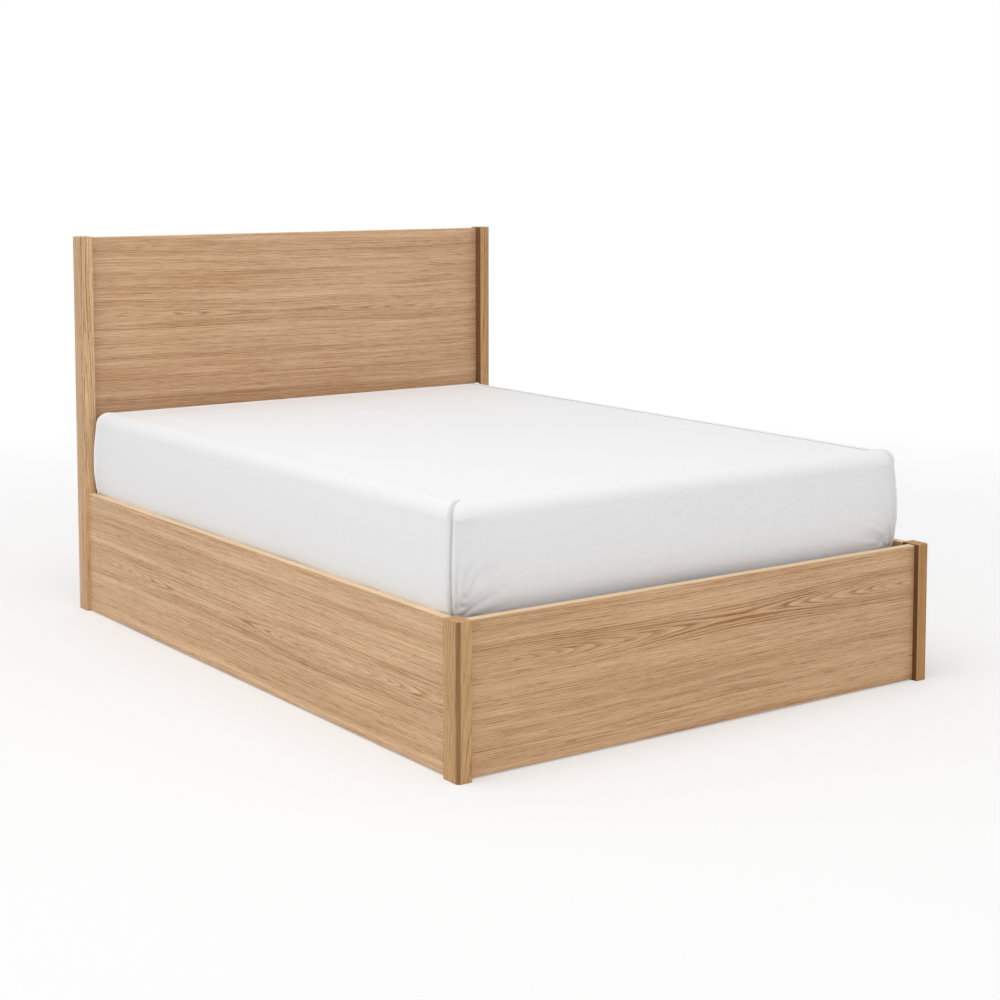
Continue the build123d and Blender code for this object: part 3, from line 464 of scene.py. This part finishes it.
def plated(name, colour, spot, low, high):
    """Bare or plated metal with drawn marks and uneven shine."""
    graph = Graph(name)
    point = graph.vector(*graph.place())
    grain = graph.noise(graph.stretched(point, (60.0, 900.0, 900.0)), detail=3.0)
    cloud = graph.noise(point, scale=45.0, detail=4.0)
    tone = graph.ramp(cloud, (0.3, colour), (0.7, spot))
    rough = graph.ramp(grain, (0.3, low), (0.7, high))
    return graph.finish(tone, rough, graph.bump(grain, 0.00004, 0.3), Metallic=1.0)


def moulded(name, colour, spot, low=0.42, high=0.58, grain=1400.0):
    """Moulded plastic or rubber with a fine spark-eroded texture."""
    graph = Graph(name)
    point = graph.vector(*graph.place())
    texture = graph.noise(point, scale=grain, detail=2.0)
    cloud = graph.noise(point, scale=20.0, detail=2.0)
    tone = graph.ramp(cloud, (0.3, colour), (0.7, spot))
    rough = graph.ramp(cloud, (0.3, low), (0.7, high))
    return graph.finish(tone, rough, graph.bump(texture, 0.0001, 0.5))


def woven(name, light, dark, pitch, axes=(0, 2), relief=0.00025):
    """Plain-woven cloth, its threads crossing on the two named axes."""
    graph = Graph(name)
    place = graph.place()
    first = graph.math("MULTIPLY", place[axes[0]], math.pi / pitch)
    second = graph.math("MULTIPLY", place[axes[1]], math.pi / pitch)
    weave = graph.math("MULTIPLY", graph.math("SINE", first), graph.math("SINE", second))
    weave = graph.math("ADD", graph.math("MULTIPLY", weave, 0.5), 0.5)
    point = graph.vector(*place)
    slub = graph.noise(graph.stretched(point, (90.0, 90.0, 90.0)), detail=4.0)
    tone = graph.math("ADD", graph.math("MULTIPLY", weave, 0.5), graph.math("MULTIPLY", slub, 0.5))
    colour = graph.ramp(tone, (0.25, dark), (0.7, light))
    roughness = graph.ramp(slub, (0.3, 0.85), (0.7, 0.93))
    normal = graph.bump(weave, relief, 0.4)
    return graph.finish(colour, roughness, normal, Sheen_Weight=0.2, Specular_IOR_Level=0.2)


def sheet_cotton():
    """White percale: a fine weave, faint slubs and shallow creases, with painted shade in its seams'
    grooves and crease hollows.
    """
    graph = Graph("sheet_cotton")
    x, y, z = graph.place()
    point = graph.vector(x, y, z)
    warp = graph.noise(graph.stretched(point, (60.0, 1500.0, 60.0)), detail=2.0)
    weft = graph.noise(graph.stretched(point, (1500.0, 60.0, 1500.0)), detail=2.0)
    weave = graph.math("ADD", warp, weft)
    soft = graph.noise(graph.stretched(point, (3.0, 9.0, 4.0)), detail=4.0, roughness=0.6)
    crease = graph.noise(graph.stretched(point, (5.0, 26.0, 6.0)), detail=3.0, distortion=0.4)
    colour = graph.ramp(weave, (0.7, srgb(235, 235, 236)), (1.3, srgb(239, 239, 240)))
    # Painted shade from the crease attribute: seam grooves, crease hollows and the end faces beside the
    # corners are darkened toward grey.
    shade = graph.add("Attribute", attribute_name="crease").outputs["Fac"]
    colour = graph.mix(shade, colour, srgb(170, 170, 172))
    roughness = graph.ramp(soft, (0.3, 0.78), (0.7, 0.9))
    normal = graph.bump(weave, 0.00012, 0.35)
    normal = graph.bump(crease, 0.0012, 0.25, normal)
    normal = graph.bump(soft, 0.0015, 0.25, normal)
    return graph.finish(colour, roughness, normal, Sheen_Weight=0.15, Specular_IOR_Level=0.15)


# Each panel's oak: its own name, grain, heart, light tone and top edge
PANEL_OAKS = {
    "headboard_panel": (
        "headboard_oak", "X", (-0.72, 0.86, -0.975, 0.022), srgb(233, 197, 159), HEADBOARD_TOP,
    ),
    "foot_panel": ("foot_oak", "X", (-0.62, 0.26, 0.984, 0.032), srgb(234, 197, 156), RAIL_TOP),
    "side_rail_left": ("left_rail_oak", "Y", (-0.5, 0.17, 0.713, 0.024), srgb(242, 206, 164), RAIL_TOP),
    "side_rail_right": ("right_rail_oak", "Y", (-0.3, 0.2, -0.713, 0.024), srgb(236, 199, 158), RAIL_TOP),
}

# Each post's oak: heart, light tone, inner arris (X, Y) with its painted highlight, side darkened by
# painted shade, rounded corner's share
POST_OAKS = {
    "foot_left": (
        (0.0, -0.69, 1.03, 0.03), srgb(226, 184, 130), -POST_ARRIS_X, FOOT_ARRIS_Y, ("X", 1, 0.3), 0.7,
    ),
    "foot_right": (
        (0.0, 0.73, 1.01, 0.02), srgb(200, 152, 90), POST_ARRIS_X, FOOT_ARRIS_Y, ("X", -1, 0.85), 0.3,
    ),
    "head_left": (
        (0.3, -0.72, -0.93, 0.015), srgb(240, 202, 158), -POST_ARRIS_X, HEAD_ARRIS_Y, ("X", 1, 0.3), 0.12,
    ),
    "head_right": (
        (0.3, 0.68, -0.99, 0.012), srgb(212, 170, 120), POST_ARRIS_X, HEAD_ARRIS_Y, ("X", -1, 0.75), 0.2,
    ),
}


def wood_looks():
    """Materials of the wooden nodes, by node."""
    looks = {node: oak_veneer(*facts) for node, facts in PANEL_OAKS.items()}
    for name, facts in POST_OAKS.items():
        end, side = name.split("_")
        looks[f"{end}_post_{side}"] = solid_oak(f"{name}_oak", *facts)
    looks["panel_dowels"] = softwood("beech_dowel", "X")
    looks["base_boards"] = fibreboard()
    looks["slats_left"] = looks["slats_right"] = plywood()
    along_x = softwood("pine_x", "X")
    along_y = softwood("pine_y", "Y")
    for name in ("foot_ledge", "head_ledge", "cross_bearers"):
        looks[name] = along_x
    for side, _ in SIDES:
        looks[f"side_ledge_{side}"] = along_y
        looks[f"floor_batten_{side}"] = along_y
    return looks


def dress():
    """Give every carried-over node its material, and add the screws and welds."""
    black = moulded("black_moulding", srgb(40, 40, 42), srgb(52, 52, 54))
    rubber = moulded("rubber", srgb(36, 36, 36), srgb(48, 47, 46), 0.7, 0.85, 700.0)
    steel = powder_coat("silver_coat", srgb(176, 179, 181), srgb(184, 187, 189))
    lift = powder_coat("black_coat", srgb(44, 44, 46), srgb(52, 52, 54))
    zinc = plated("zinc", srgb(196, 198, 196), srgb(214, 212, 200), 0.24, 0.42)
    rod = plated("polished_rod", srgb(222, 222, 224), srgb(230, 230, 232), 0.08, 0.14)
    looks = wood_looks()
    for side, _ in SIDES:
        looks[f"platform_side_tube_{side}"] = steel
        for name in ("lift_plate", "rear_arm", "front_arm", "lift_bracket", "strut_tube"):
            looks[f"{name}_{side}"] = lift
        for name in ("fixed_pins", "bracket_pins"):
            looks[f"{name}_{side}"] = zinc
        looks[f"strut_rod_{side}"] = rod
        looks[f"strut_foot_eye_{side}"] = black
        looks[f"strut_rod_eye_{side}"] = black
    for name in ("platform_head_tube", "platform_foot_tube", "platform_centre_tube"):
        looks[name] = steel
    for name in ("platform_cross_tubes", "mattress_stops"):
        looks[name] = steel
    for name in ("corner_braces", "hanger_bolts", "bracket_bolts"):
        looks[name] = zinc
    for name in ("side_slat_caps", "middle_slat_caps", "tube_plugs"):
        looks[name] = black
    for name in ("rest_pads", "bearer_feet"):
        looks[name] = rubber
    looks["lift_strap"] = woven("webbing", srgb(58, 58, 62), srgb(26, 26, 28), WEBBING_PITCH, relief=0.0006)
    make_screws(zinc, black)
    make_welds(steel)
    for name, material in looks.items():
        slots = NODES[name].data.materials
        slots.clear()
        slots.append(material)


def link_mesh(name, mesh, smooth=True):
    """The bmesh given as an object in the scene."""
    data = bpy.data.meshes.new(name)
    mesh.to_mesh(data)
    mesh.free()
    for polygon in data.polygons:
        polygon.use_smooth = smooth
    piece = bpy.data.objects.new(name, data)
    bpy.context.scene.collection.objects.link(piece)
    return piece


# Mattress and fitted sheet

def graded(count, finest):
    """Shares from 0 to 1, close together near both ends."""
    shares = []
    for i in range(count + 1):
        even = i / count
        eased = even - math.sin(2 * math.pi * even) / (2 * math.pi)
        shares.append(finest * even + (1 - finest) * eased)
    return shares


def centred(count, finest, middle):
    """Shares from 0 to 1, close together round the middle given."""
    shares = []
    for i in range(count + 1):
        even = 2 * i / count - 1
        reach = finest * abs(even) + (1 - finest) * abs(even) ** 3
        shares.append(middle - middle * reach if even < 0 else middle + (1 - middle) * reach)
    return shares


class Border:
    """The mattress's outline seen from above, as points that can be drawn in evenly."""

    def __init__(self, low, high):
        self.low = low
        self.high = high
        self.steps = []
        for number, count in enumerate(SIDE_STEPS):
            self.steps += [("side", number, share) for share in graded(count, SIDE_FINEST)[:-1]]
            arc = centred(CORNER_STEPS, CORNER_FINEST, SEAM_SHARES[number])
            self.steps += [("corner", number, share) for share in arc[:-1]]

    def ring(self, inset):
        """The outline's points and outward directions, drawn in by the inset."""
        radius = max(CORNER_RADIUS - inset, LEAST_RADIUS)
        x0, x1 = self.low.x + inset, self.high.x - inset
        y0, y1 = self.low.y + inset, self.high.y - inset
        centres = [(x1 - radius, y1 - radius), (x0 + radius, y1 - radius)]
        centres += [(x0 + radius, y0 + radius), (x1 - radius, y0 + radius)]
        points = []
        for kind, number, share in self.steps:
            if kind == "corner":
                angle = math.radians(90 * (number + share))
                centre = centres[number]
            else:
                angle = math.radians(90 * number)
                start = centres[number - 1]
                end = centres[number]
                centre = tuple(a + (b - a) * share for a, b in zip(start, end))
            outward = Vector((math.cos(angle), math.sin(angle), 0.0))
            points.append((Vector((*centre, 0.0)) + outward * radius, outward))
        return points


def border_inset(share):
    """How far the border is drawn in at a share of its height: it bulges below the middle."""
    low = LOW_INSET * max(0.0, 1 - share / 0.4) ** 1.6
    high = HIGH_INSET * max(0.0, (share - 0.45) / 0.55) ** 2
    return low + high


def profile(bottom, top):
    """Levels of the cloth from its hem underneath, up the border and over the edge."""
    levels = []
    for i in range(HEM_LEVELS + 1):
        levels.append((HEM_REACH - (HEM_REACH - HEM_FOLD) * i / HEM_LEVELS, bottom, "under"))
    for i in range(1, FOLD_LEVELS):
        turn = math.radians(90 * i / FOLD_LEVELS)
        level = bottom + HEM_FOLD * (1 - math.cos(turn))
        levels.append((HEM_FOLD * (1 - math.sin(turn)), level, "under"))
    height = top - EDGE_RADIUS - bottom - HEM_FOLD
    for i in range(SIDE_LEVELS + 1):
        share = i / SIDE_LEVELS
        levels.append((border_inset(share), bottom + HEM_FOLD + height * share, "side"))
    start = border_inset(1.0)
    for i in range(1, EDGE_LEVELS + 1):
        turn = math.radians(90 * i / EDGE_LEVELS)
        inset = start + EDGE_RADIUS * (1 - math.cos(turn))
        levels.append((inset, top - EDGE_RADIUS + EDGE_RADIUS * math.sin(turn), "edge"))
    return levels


def from_edge(point, low, high):
    """How far a point of the top lies inside the nearest side."""
    return min(point.x - low.x, high.x - point.x, point.y - low.y, high.y - point.y)


def crown(point, low, high):
    """How far the top stands up at a point, level near the edge and full in the middle."""
    across = 2 * (point.x - (low.x + high.x) / 2) / (high.x - low.x)
    along = 2 * (point.y - (low.y + high.y) / 2) / (high.y - low.y)
    start = min(1.0, max(0.0, (from_edge(point, low, high) - EDGE_RADIUS) / CROWN_REACH))
    full = max(0.0, 1 - across ** 4) * max(0.0, 1 - along ** 4)
    return CROWN_RISE * full * start * start * (3 - 2 * start)


def wavy(x, y, z, seed):
    """Smooth noise between -1 and 1, another pattern for each seed."""
    return noise.noise(Vector((x, y, z + 17.3 * seed)))


def bell(offset, width):
    """1 at no offset, falling to 0 smoothly on both sides."""
    return math.exp(-(offset / width) ** 2)


def fan(distance, height, seed):
    """Creases that fan out over a face from a corner's foot, just above the rails."""
    above = max(0.0, height - FAN_START)
    reach = math.hypot(distance, above)
    if reach > FAN_REACH or reach < 1e-6:
        return 0.0
    angle = math.atan2(above, distance)
    ripple = math.sin(FAN_PHASE * angle + FAN_SHAKE * wavy(angle * 2.6, reach * 9, 0.0, seed))
    grow = min(1.0, reach / FAN_GROWTH) * max(0.0, 1 - reach / FAN_REACH) ** 2
    return FAN_DEPTH * ripple * grow


def top_rows(ring):
    """The ring's four sides as rows of points for the patch that fills the top."""
    half = CORNER_STEPS // 2
    count = len(ring)
    starts = []
    place = 0
    for steps in SIDE_STEPS:
        place += steps
        starts.append(place + half)
        place += CORNER_STEPS
    rows = []
    for first, last in zip([starts[-1] - count] + starts[:-1], starts):
        rows.append([ring[i % count] for i in range(first, last + 1)])
    return rows


def patch_spot(rows, column, line, columns, lines):
    """A point of the top, blended from the four rows round it."""
    right, head, left, foot = rows
    u, v = column / columns, line / lines
    west, east = left[lines - line], right[line]
    south, north = foot[column], head[columns - column]
    spot = west.co * (1 - u) + east.co * u + south.co * (1 - v) + north.co * v
    spot -= left[lines].co * (1 - u) * (1 - v) + right[0].co * u * (1 - v)
    spot -= left[0].co * (1 - u) * v + right[lines].co * u * v
    return spot


def cloth_rings(mesh, border, bottom, top, corners, creased):
    """Rings of the cloth from its hem to the edge, each vertex with its crease's painted shade."""
    shades = mesh.verts.layers.float.new("crease")
    rings = []
    for inset, height, part in profile(bottom, top):
        ring = []
        for (kind, number, share), (point, outward) in zip(border.steps, border.ring(inset)):
            spot = point.copy()
            spot.z = height
            shade = 0.0
            if creased:
                beside = share - SEAM_SHARES[number]
                move, shade = creases(spot, outward, part, kind, number, beside, corners, bottom, top)
                spot += move
            ring.append(mesh.verts.new(spot))
            ring[-1][shades] = shade
        rings.append(ring)
    return rings


def fill_top(mesh, ring, low, high, creased):
    """A patch of quads over the top, inside the last ring."""
    rows = top_rows(ring)
    lines = len(rows[0]) - 1
    columns = len(rows[1]) - 1
    grid = {}
    for line in range(lines + 1):
        for column in range(columns + 1):
            if line == 0:
                vertex = rows[3][column]
            elif line == lines:
                vertex = rows[1][columns - column]
            elif column == 0:
                vertex = rows[2][lines - line]
            elif column == columns:
                vertex = rows[0][line]
            else:
                spot = patch_spot(rows, column, line, columns, lines)
                spot.z += crown(spot, low, high)
                if creased:
                    spot.z += ripples(spot, low, high)
                vertex = mesh.verts.new(spot)
            grid[line, column] = vertex
    for line in range(lines):
        for column in range(columns):
            ends = [(line, column), (line, column + 1), (line + 1, column + 1), (line + 1, column)]
            mesh.faces.new([grid[end] for end in ends])


def cloth_shape(name, low, high, bottom, creased):
    """The cloth as an object: rings from the hem to the edge, and a patch over the top."""
    mesh = bmesh.new()
    corners = [Vector((x, y, 0.0)) for x in (low.x, high.x) for y in (low.y, high.y)]
    rings = cloth_rings(mesh, Border(low, high), bottom, high.z - CROWN_RISE, corners, creased)
    for lower, upper in zip(rings, rings[1:]):
        for i in range(len(lower)):
            j = (i + 1) % len(lower)
            mesh.faces.new((lower[i], lower[j], upper[j], upper[i]))
    fill_top(mesh, rings[-1], low, high, creased)
    return link_mesh(name, mesh)


def ripples(spot, low, high):
    """Faint long ripples in the drawn top, a little stronger over its right part."""
    fade = min(1.0, max(0.0, (from_edge(spot, low, high) - RIPPLE_START) / RIPPLE_FADE))
    right = 0.6 + 0.8 * (spot.x - low.x) / (high.x - low.x)
    long = RIPPLE_LONG * wavy(spot.x * 2.4, spot.y * 8.0, 0.0, 13)
    short = RIPPLE_SHORT * wavy(spot.x * 6.0, spot.y * 21.0, 0.0, 14)
    return fade * right * (long + short)


def corner_pull(reach, height):
    """How far the cloth is drawn in round a corner's foot."""
    return CORNER_PULL * max(0.0, 1 - reach / PULL_REACH) ** 2 * max(0.0, 1 - height / PULL_HEIGHT) ** 1.5


def face_creases(spot, part, facing_x, distance, height, tall, seed):
    """Outward move and painted shade at a point of a face, from its small creases and waves."""
    out = 0.0
    shade = 0.0
    if part in ("side", "under"):
        out = fan(max(0.0, distance - FAN_OFFSET), height, seed + (5 if facing_x else 0))
        out *= FAN_SIDE_SHARE if facing_x else 1.0
        shade = max(0.0, -out) * CREASE_SHADE
        along = spot.y if facing_x else spot.x
        fall = max(0.0, 1 - height / WAVES_HEIGHT)
        out += WAVE_DEPTH * wavy(along * 11, height * 4, 0.0, 11) * (0.3 + fall)
        out += SWELL_DEPTH * wavy(along * 4, height * 5, 0.0, 12)
    if part == "side" and not facing_x:
        out -= HOLLOW_DEPTH * bell(distance - HOLLOW_PLACE, HOLLOW_WIDTH) * tall
        shade += BESIDE_SHADE * math.exp(-distance / BESIDE_REACH) * tall
    return out, shade


def seam(offset, number, height, tall, rise, full_height):
    """Outward move, lift and painted shade beside a corner's seam, with its grooves and its ear."""
    toward_end = offset if number % 2 == 0 else -offset
    out = SEAM_HEIGHT * bell(offset, SEAM_WIDTH)
    shade = 0.0
    for place, width, depth, darkness in GROOVES:
        groove = bell(toward_end - place, width)
        out -= depth * groove
        shade += darkness * groove * tall
    ear = EAR_RISES[number] * bell(offset, EAR_WIDTH) * math.sin(math.pi * min(1.0, 0.8 * rise))
    up = math.sin(math.pi * min(1.0, height / full_height))
    bow = SEAM_BOW * up * bell(offset, SEAM_BOW_WIDTH)
    return out + EAR_LEAN * ear + bow, ear, shade


def creases(spot, outward, part, kind, number, beside, corners, bottom, top):
    """How far seams and creases move a point of the cloth, and how dark painted shade makes its hollow."""
    near = min(corners, key=lambda corner: (corner.x - spot.x) ** 2 + (corner.y - spot.y) ** 2)
    height = spot.z - bottom
    facing_x = abs(outward.x) > abs(outward.y)
    distance = abs(spot.y - near.y) if facing_x else abs(spot.x - near.x)
    tall = max(0.0, min(1.0, (top - spot.z) / EDGE_RADIUS))
    out, shade = face_creases(spot, part, facing_x, distance, height, tall, 1 + corners.index(near))
    out -= corner_pull(math.hypot(near.x - spot.x, near.y - spot.y), height)
    lift = 0.0
    if kind == "corner":
        offset = beside * CORNER_RADIUS * math.pi / 2
        rise = max(0.0, (spot.z - top + EDGE_RADIUS) / EDGE_RADIUS)
        drawn, lift, dark = seam(offset, number, height, tall, rise, top - bottom)
        out += drawn
        shade += dark
    return outward * out + Vector((0.0, 0.0, lift)), min(1.0, shade)


def make_bedding():
    """The mattress in its ticking and the fitted sheet drawn over it."""
    low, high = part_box("fitted_sheet")
    core_low, core_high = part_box("mattress")
    bottom = core_low.z
    low_slack = Vector((SLACK_LEFT, SLACK_FOOT, 0.0))
    high_slack = Vector((SLACK_RIGHT, SLACK_HEAD, 0.0))
    low, high = low - low_slack, high + high_slack
    core_low, core_high = core_low - low_slack, core_high + high_slack
    sheet = cloth_shape("fitted_sheet_cloth", low, high, bottom - HEM_DROP, True)
    smooth = sheet.modifiers.new("smooth", "SUBSURF")
    smooth.levels = smooth.render_levels = 1
    sheet.data.materials.append(sheet_cotton())
    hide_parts("fitted_sheet")
    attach(sheet, "platform")
    inset = Vector((CORE_INSET, CORE_INSET, 0.0))
    core_high.z -= CORE_DROP
    core = cloth_shape("mattress_core", core_low + inset, core_high - inset, bottom, False)
    base = bmesh.new()
    base.from_mesh(core.data)
    bmesh.ops.holes_fill(base, edges=[edge for edge in base.edges if edge.is_boundary])
    base.to_mesh(core.data)
    base.free()
    ticking = woven("ticking", srgb(228, 228, 226), srgb(206, 206, 204), TICKING_PITCH, axes=(0, 1))
    core.data.materials.append(ticking)
    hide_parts("mattress")
    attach(core, "platform")


# Small fasteners and welds

def new_piece(name, mesh, body, material):
    """A piece that the CAD doesn't have, with its body, slot and material."""
    piece = link_mesh(name, mesh)
    piece.data.materials.append(material)
    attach(piece, body)


def screw_head(mesh, place, normal, radius=WOOD_SCREW):
    """A domed countersunk head with a cross recess, standing a little proud."""
    turn = Vector((0.0, 0.0, 1.0)).rotation_difference(Vector(normal)).to_matrix()
    rings = []
    for share, height in SCREW_LEVELS:
        ring = []
        for i in range(SCREW_SIDES):
            angle = 2 * math.pi * i / SCREW_SIDES
            flat = Vector((math.cos(angle) * radius * share, math.sin(angle) * radius * share, height))
            ring.append(mesh.verts.new(Vector(place) + turn @ flat))
        rings.append(ring)
    for lower, upper in zip(rings, rings[1:]):
        for i in range(SCREW_SIDES):
            j = (i + 1) % SCREW_SIDES
            mesh.faces.new((lower[i], lower[j], upper[j], upper[i]))
    inner = []
    for i in range(SCREW_SIDES):
        angle = 2 * math.pi * i / SCREW_SIDES
        arm = abs(math.cos(2 * angle)) ** 1.5
        flat = Vector((math.cos(angle), math.sin(angle), 0.0)) * radius * (RECESS_WAIST + RECESS_ARM * arm)
        flat.z = RECESS_RIM
        inner.append(mesh.verts.new(Vector(place) + turn @ flat))
    foot = mesh.verts.new(Vector(place) + turn @ Vector((0.0, 0.0, -RECESS_DEPTH)))
    for i in range(SCREW_SIDES):
        j = (i + 1) % SCREW_SIDES
        mesh.faces.new((rings[-1][i], rings[-1][j], inner[j], inner[i]))
        mesh.faces.new((inner[i], inner[j], foot))


def spread(low, high, count):
    """Even places between two ends, half a step inside each."""
    return [low + (high - low) * (i + 0.5) / count for i in range(count)]


def make_screws(zinc, black):
    """Wood screws through the ledges, battens and base boards, and screws in the lift plates."""
    mesh = bmesh.new()
    for side, way in SIDES:
        for node, count in (("side_ledge", LEDGE_SCREWS), ("floor_batten", BATTEN_SCREWS)):
            low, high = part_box(f"{node}_{side}")
            face = high.x if way > 0 else low.x
            for y in spread(low.y, high.y, count):
                screw_head(mesh, (face, y, (low.z + high.z) / 2), (way, 0, 0))
    for name, way in (("foot_ledge", 1), ("head_ledge", -1)):
        low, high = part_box(name)
        face = high.y if way > 0 else low.y
        for x in spread(low.x, high.x, LEDGE_SCREWS):
            screw_head(mesh, (x, face, (low.z + high.z) / 2), (0, way, 0))
    low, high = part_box("base_boards")
    for x in (low.x + BOARD_MARGIN, high.x - BOARD_MARGIN):
        for y in spread(low.y, high.y, BOARD_SCREWS):
            screw_head(mesh, (x, y, high.z), (0, 0, 1), BOARD_SCREW)
    new_piece("ledge_screws", mesh, "bed_frame", zinc)
    mesh = bmesh.new()
    for side, way in SIDES:
        low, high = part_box(f"lift_plate_{side}")
        face = high.x if way > 0 else low.x
        for y, z in PLATE_SCREWS:
            screw_head(mesh, (face, y, z), (way, 0, 0), PLATE_SCREW)
    new_piece("plate_screws", mesh, "bed_frame", black)


def weld_bead(mesh, centre, sizes):
    """A rippled weld round the end of a square tube that lies along X."""
    half_a, half_b = sizes[0] / 2, sizes[1] / 2
    outline = 2 * (sizes[0] + sizes[1])
    count = int(outline / WELD_STEP)
    rings = []
    for i in range(count):
        run = outline * i / count
        corners = ((-half_a, -half_b), (half_a, -half_b), (half_a, half_b), (-half_a, half_b))
        for k in range(4):
            length = sizes[k % 2]
            if run <= length:
                break
            run -= length
        start, end = corners[k], corners[(k + 1) % 4]
        share = run / length
        a = start[0] + (end[0] - start[0]) * share
        b = start[1] + (end[1] - start[1]) * share
        outward = Vector((start[0] + end[0], start[1] + end[1])).normalized()
        size = WELD_RADIUS + WELD_RIPPLE * math.sin(2.1 * i) + WELD_SWELL * math.sin(0.7 * i)
        ring = []
        for j in range(WELD_SIDES):
            angle = 2 * math.pi * j / WELD_SIDES
            out = size * math.cos(angle)
            up = size * math.sin(angle)
            flat = (a + outward.x * out, b + outward.y * out)
            ring.append(mesh.verts.new((centre[0] + up, centre[1] + flat[0], centre[2] + flat[1])))
        rings.append(ring)
    for i in range(count):
        following = rings[(i + 1) % count]
        for j in range(WELD_SIDES):
            k = (j + 1) % WELD_SIDES
            mesh.faces.new((rings[i][j], following[j], following[k], rings[i][k]))


def make_welds(steel):
    """Welds where the platform's cross tubes and end tubes meet its side tubes."""
    mesh = bmesh.new()
    low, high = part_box("platform_cross_tubes")
    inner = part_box("platform_side_tube_right")[0].x - WELD_LAP
    depth = high.z - low.z
    for y in tube_middles():
        for way in (-1, 1):
            weld_bead(mesh, (way * inner, y, (low.z + high.z) / 2), (depth, depth))
    for name in ("platform_head_tube", "platform_foot_tube"):
        low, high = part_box(name)
        for way in (-1, 1):
            place = (way * inner, (low.y + high.y) / 2, (low.z + high.z) / 2)
            weld_bead(mesh, place, (high.y - low.y, high.z - low.z))
    new_piece("tube_welds", mesh, "platform", steel)


def tube_middles():
    """The cross tubes' places along the bed, read from their node."""
    places = sorted(vertex.co.y for vertex in NODES["platform_cross_tubes"].data.vertices)
    groups = [[places[0]]]
    for place in places[1:]:
        if place - groups[-1][-1] > TUBES_APART:
            groups.append([])
        groups[-1].append(place)
    return [(group[0] + group[-1]) / 2 for group in groups]


# Stage

def make_floor():
    """A pale floor that keeps the shadow and runs out into white."""
    mesh = bmesh.new()
    bmesh.ops.create_circle(mesh, cap_ends=True, radius=FLOOR_RADIUS, segments=64)
    floor = link_mesh("floor", mesh, smooth=False)
    graph = Graph("floor")
    x, y, z = graph.place()
    away = graph.math("SQRT", graph.math("ADD", graph.math("POWER", x, 2.0), graph.math("POWER", y, 2.0)))
    span = FLOOR_FAR - FLOOR_NEAR
    far = graph.math("DIVIDE", graph.math("SUBTRACT", away, FLOOR_NEAR), span, clamp=True)
    far = graph.ramp(far, (0.0, FLOOR_LIFT), (1.0, 1.0))
    path = graph.add("LightPath")
    seen = graph.math("ADD", path.outputs["Is Camera Ray"], path.outputs["Is Glossy Ray"])
    seen = graph.math("ADD", seen, path.outputs["Is Transmission Ray"], clamp=True)
    graph.finish((FLOOR_WHITE, FLOOR_WHITE, FLOOR_WHITE, 1.0), 0.9, Specular_IOR_Level=0.0)
    white = graph.add("Emission")
    blend = graph.add("MixShader")
    graph.put(blend.inputs[0], graph.math("MULTIPLY", far, seen))
    graph.put(blend.inputs[1], graph.shader.outputs[0])
    graph.put(blend.inputs[2], white.outputs[0])
    output = graph.tree.nodes["Material Output"]
    graph.put(output.inputs["Surface"], blend.outputs[0])
    floor.data.materials.append(graph.material)


def make_world():
    """A white surround: strength 1 to the camera, less as light."""
    world = bpy.data.worlds.new("studio")
    bpy.context.scene.world = world
    world.use_nodes = True
    tree = world.node_tree
    background = tree.nodes["Background"]
    background.inputs["Color"].default_value = (1.0, 1.0, 1.0, 1.0)
    path = tree.nodes.new("ShaderNodeLightPath")
    total = path.outputs["Is Camera Ray"]
    for name in ("Is Glossy Ray", "Is Transmission Ray"):
        plus = tree.nodes.new("ShaderNodeMath")
        plus.use_clamp = True
        tree.links.new(total, plus.inputs[0])
        tree.links.new(path.outputs[name], plus.inputs[1])
        total = plus.outputs[0]
    level = tree.nodes.new("ShaderNodeMapRange")
    tree.links.new(total, level.inputs["Value"])
    level.inputs["To Min"].default_value = WORLD_LIGHT
    tree.links.new(level.outputs[0], background.inputs["Strength"])


def make_lamp(name, place, target, size, power):
    """A soft square lamp aimed at a point."""
    data = bpy.data.lights.new(name, "AREA")
    data.size = size
    data.energy = power
    lamp = bpy.data.objects.new(name, data)
    bpy.context.scene.collection.objects.link(lamp)
    lamp.location = place
    aim = Vector(target) - Vector(place)
    lamp.rotation_euler = aim.to_track_quat("-Z", "Y").to_euler()


def make_camera():
    data = bpy.data.cameras.new("camera")
    data.lens = CAMERA_LENS
    data.sensor_width = CAMERA_SENSOR
    data.shift_y = CAMERA_SHIFT
    camera = bpy.data.objects.new("camera", data)
    bpy.context.scene.collection.objects.link(camera)
    camera.location = CAMERA_PLACE
    camera.rotation_euler = (math.pi / 2 + CAMERA_PITCH, 0.0, -CAMERA_YAW)
    bpy.context.scene.camera = camera


def main():
    bpy.context.scene.view_settings.view_transform = "Standard"
    make_camera()
    make_world()
    make_floor()
    make_lamp("key", KEY_PLACE, KEY_TARGET, KEY_SIZE, KEY_POWER)
    make_lamp("fill", FILL_PLACE, KEY_TARGET, FILL_SIZE, FILL_POWER)
    dress()
    make_bedding()


main()
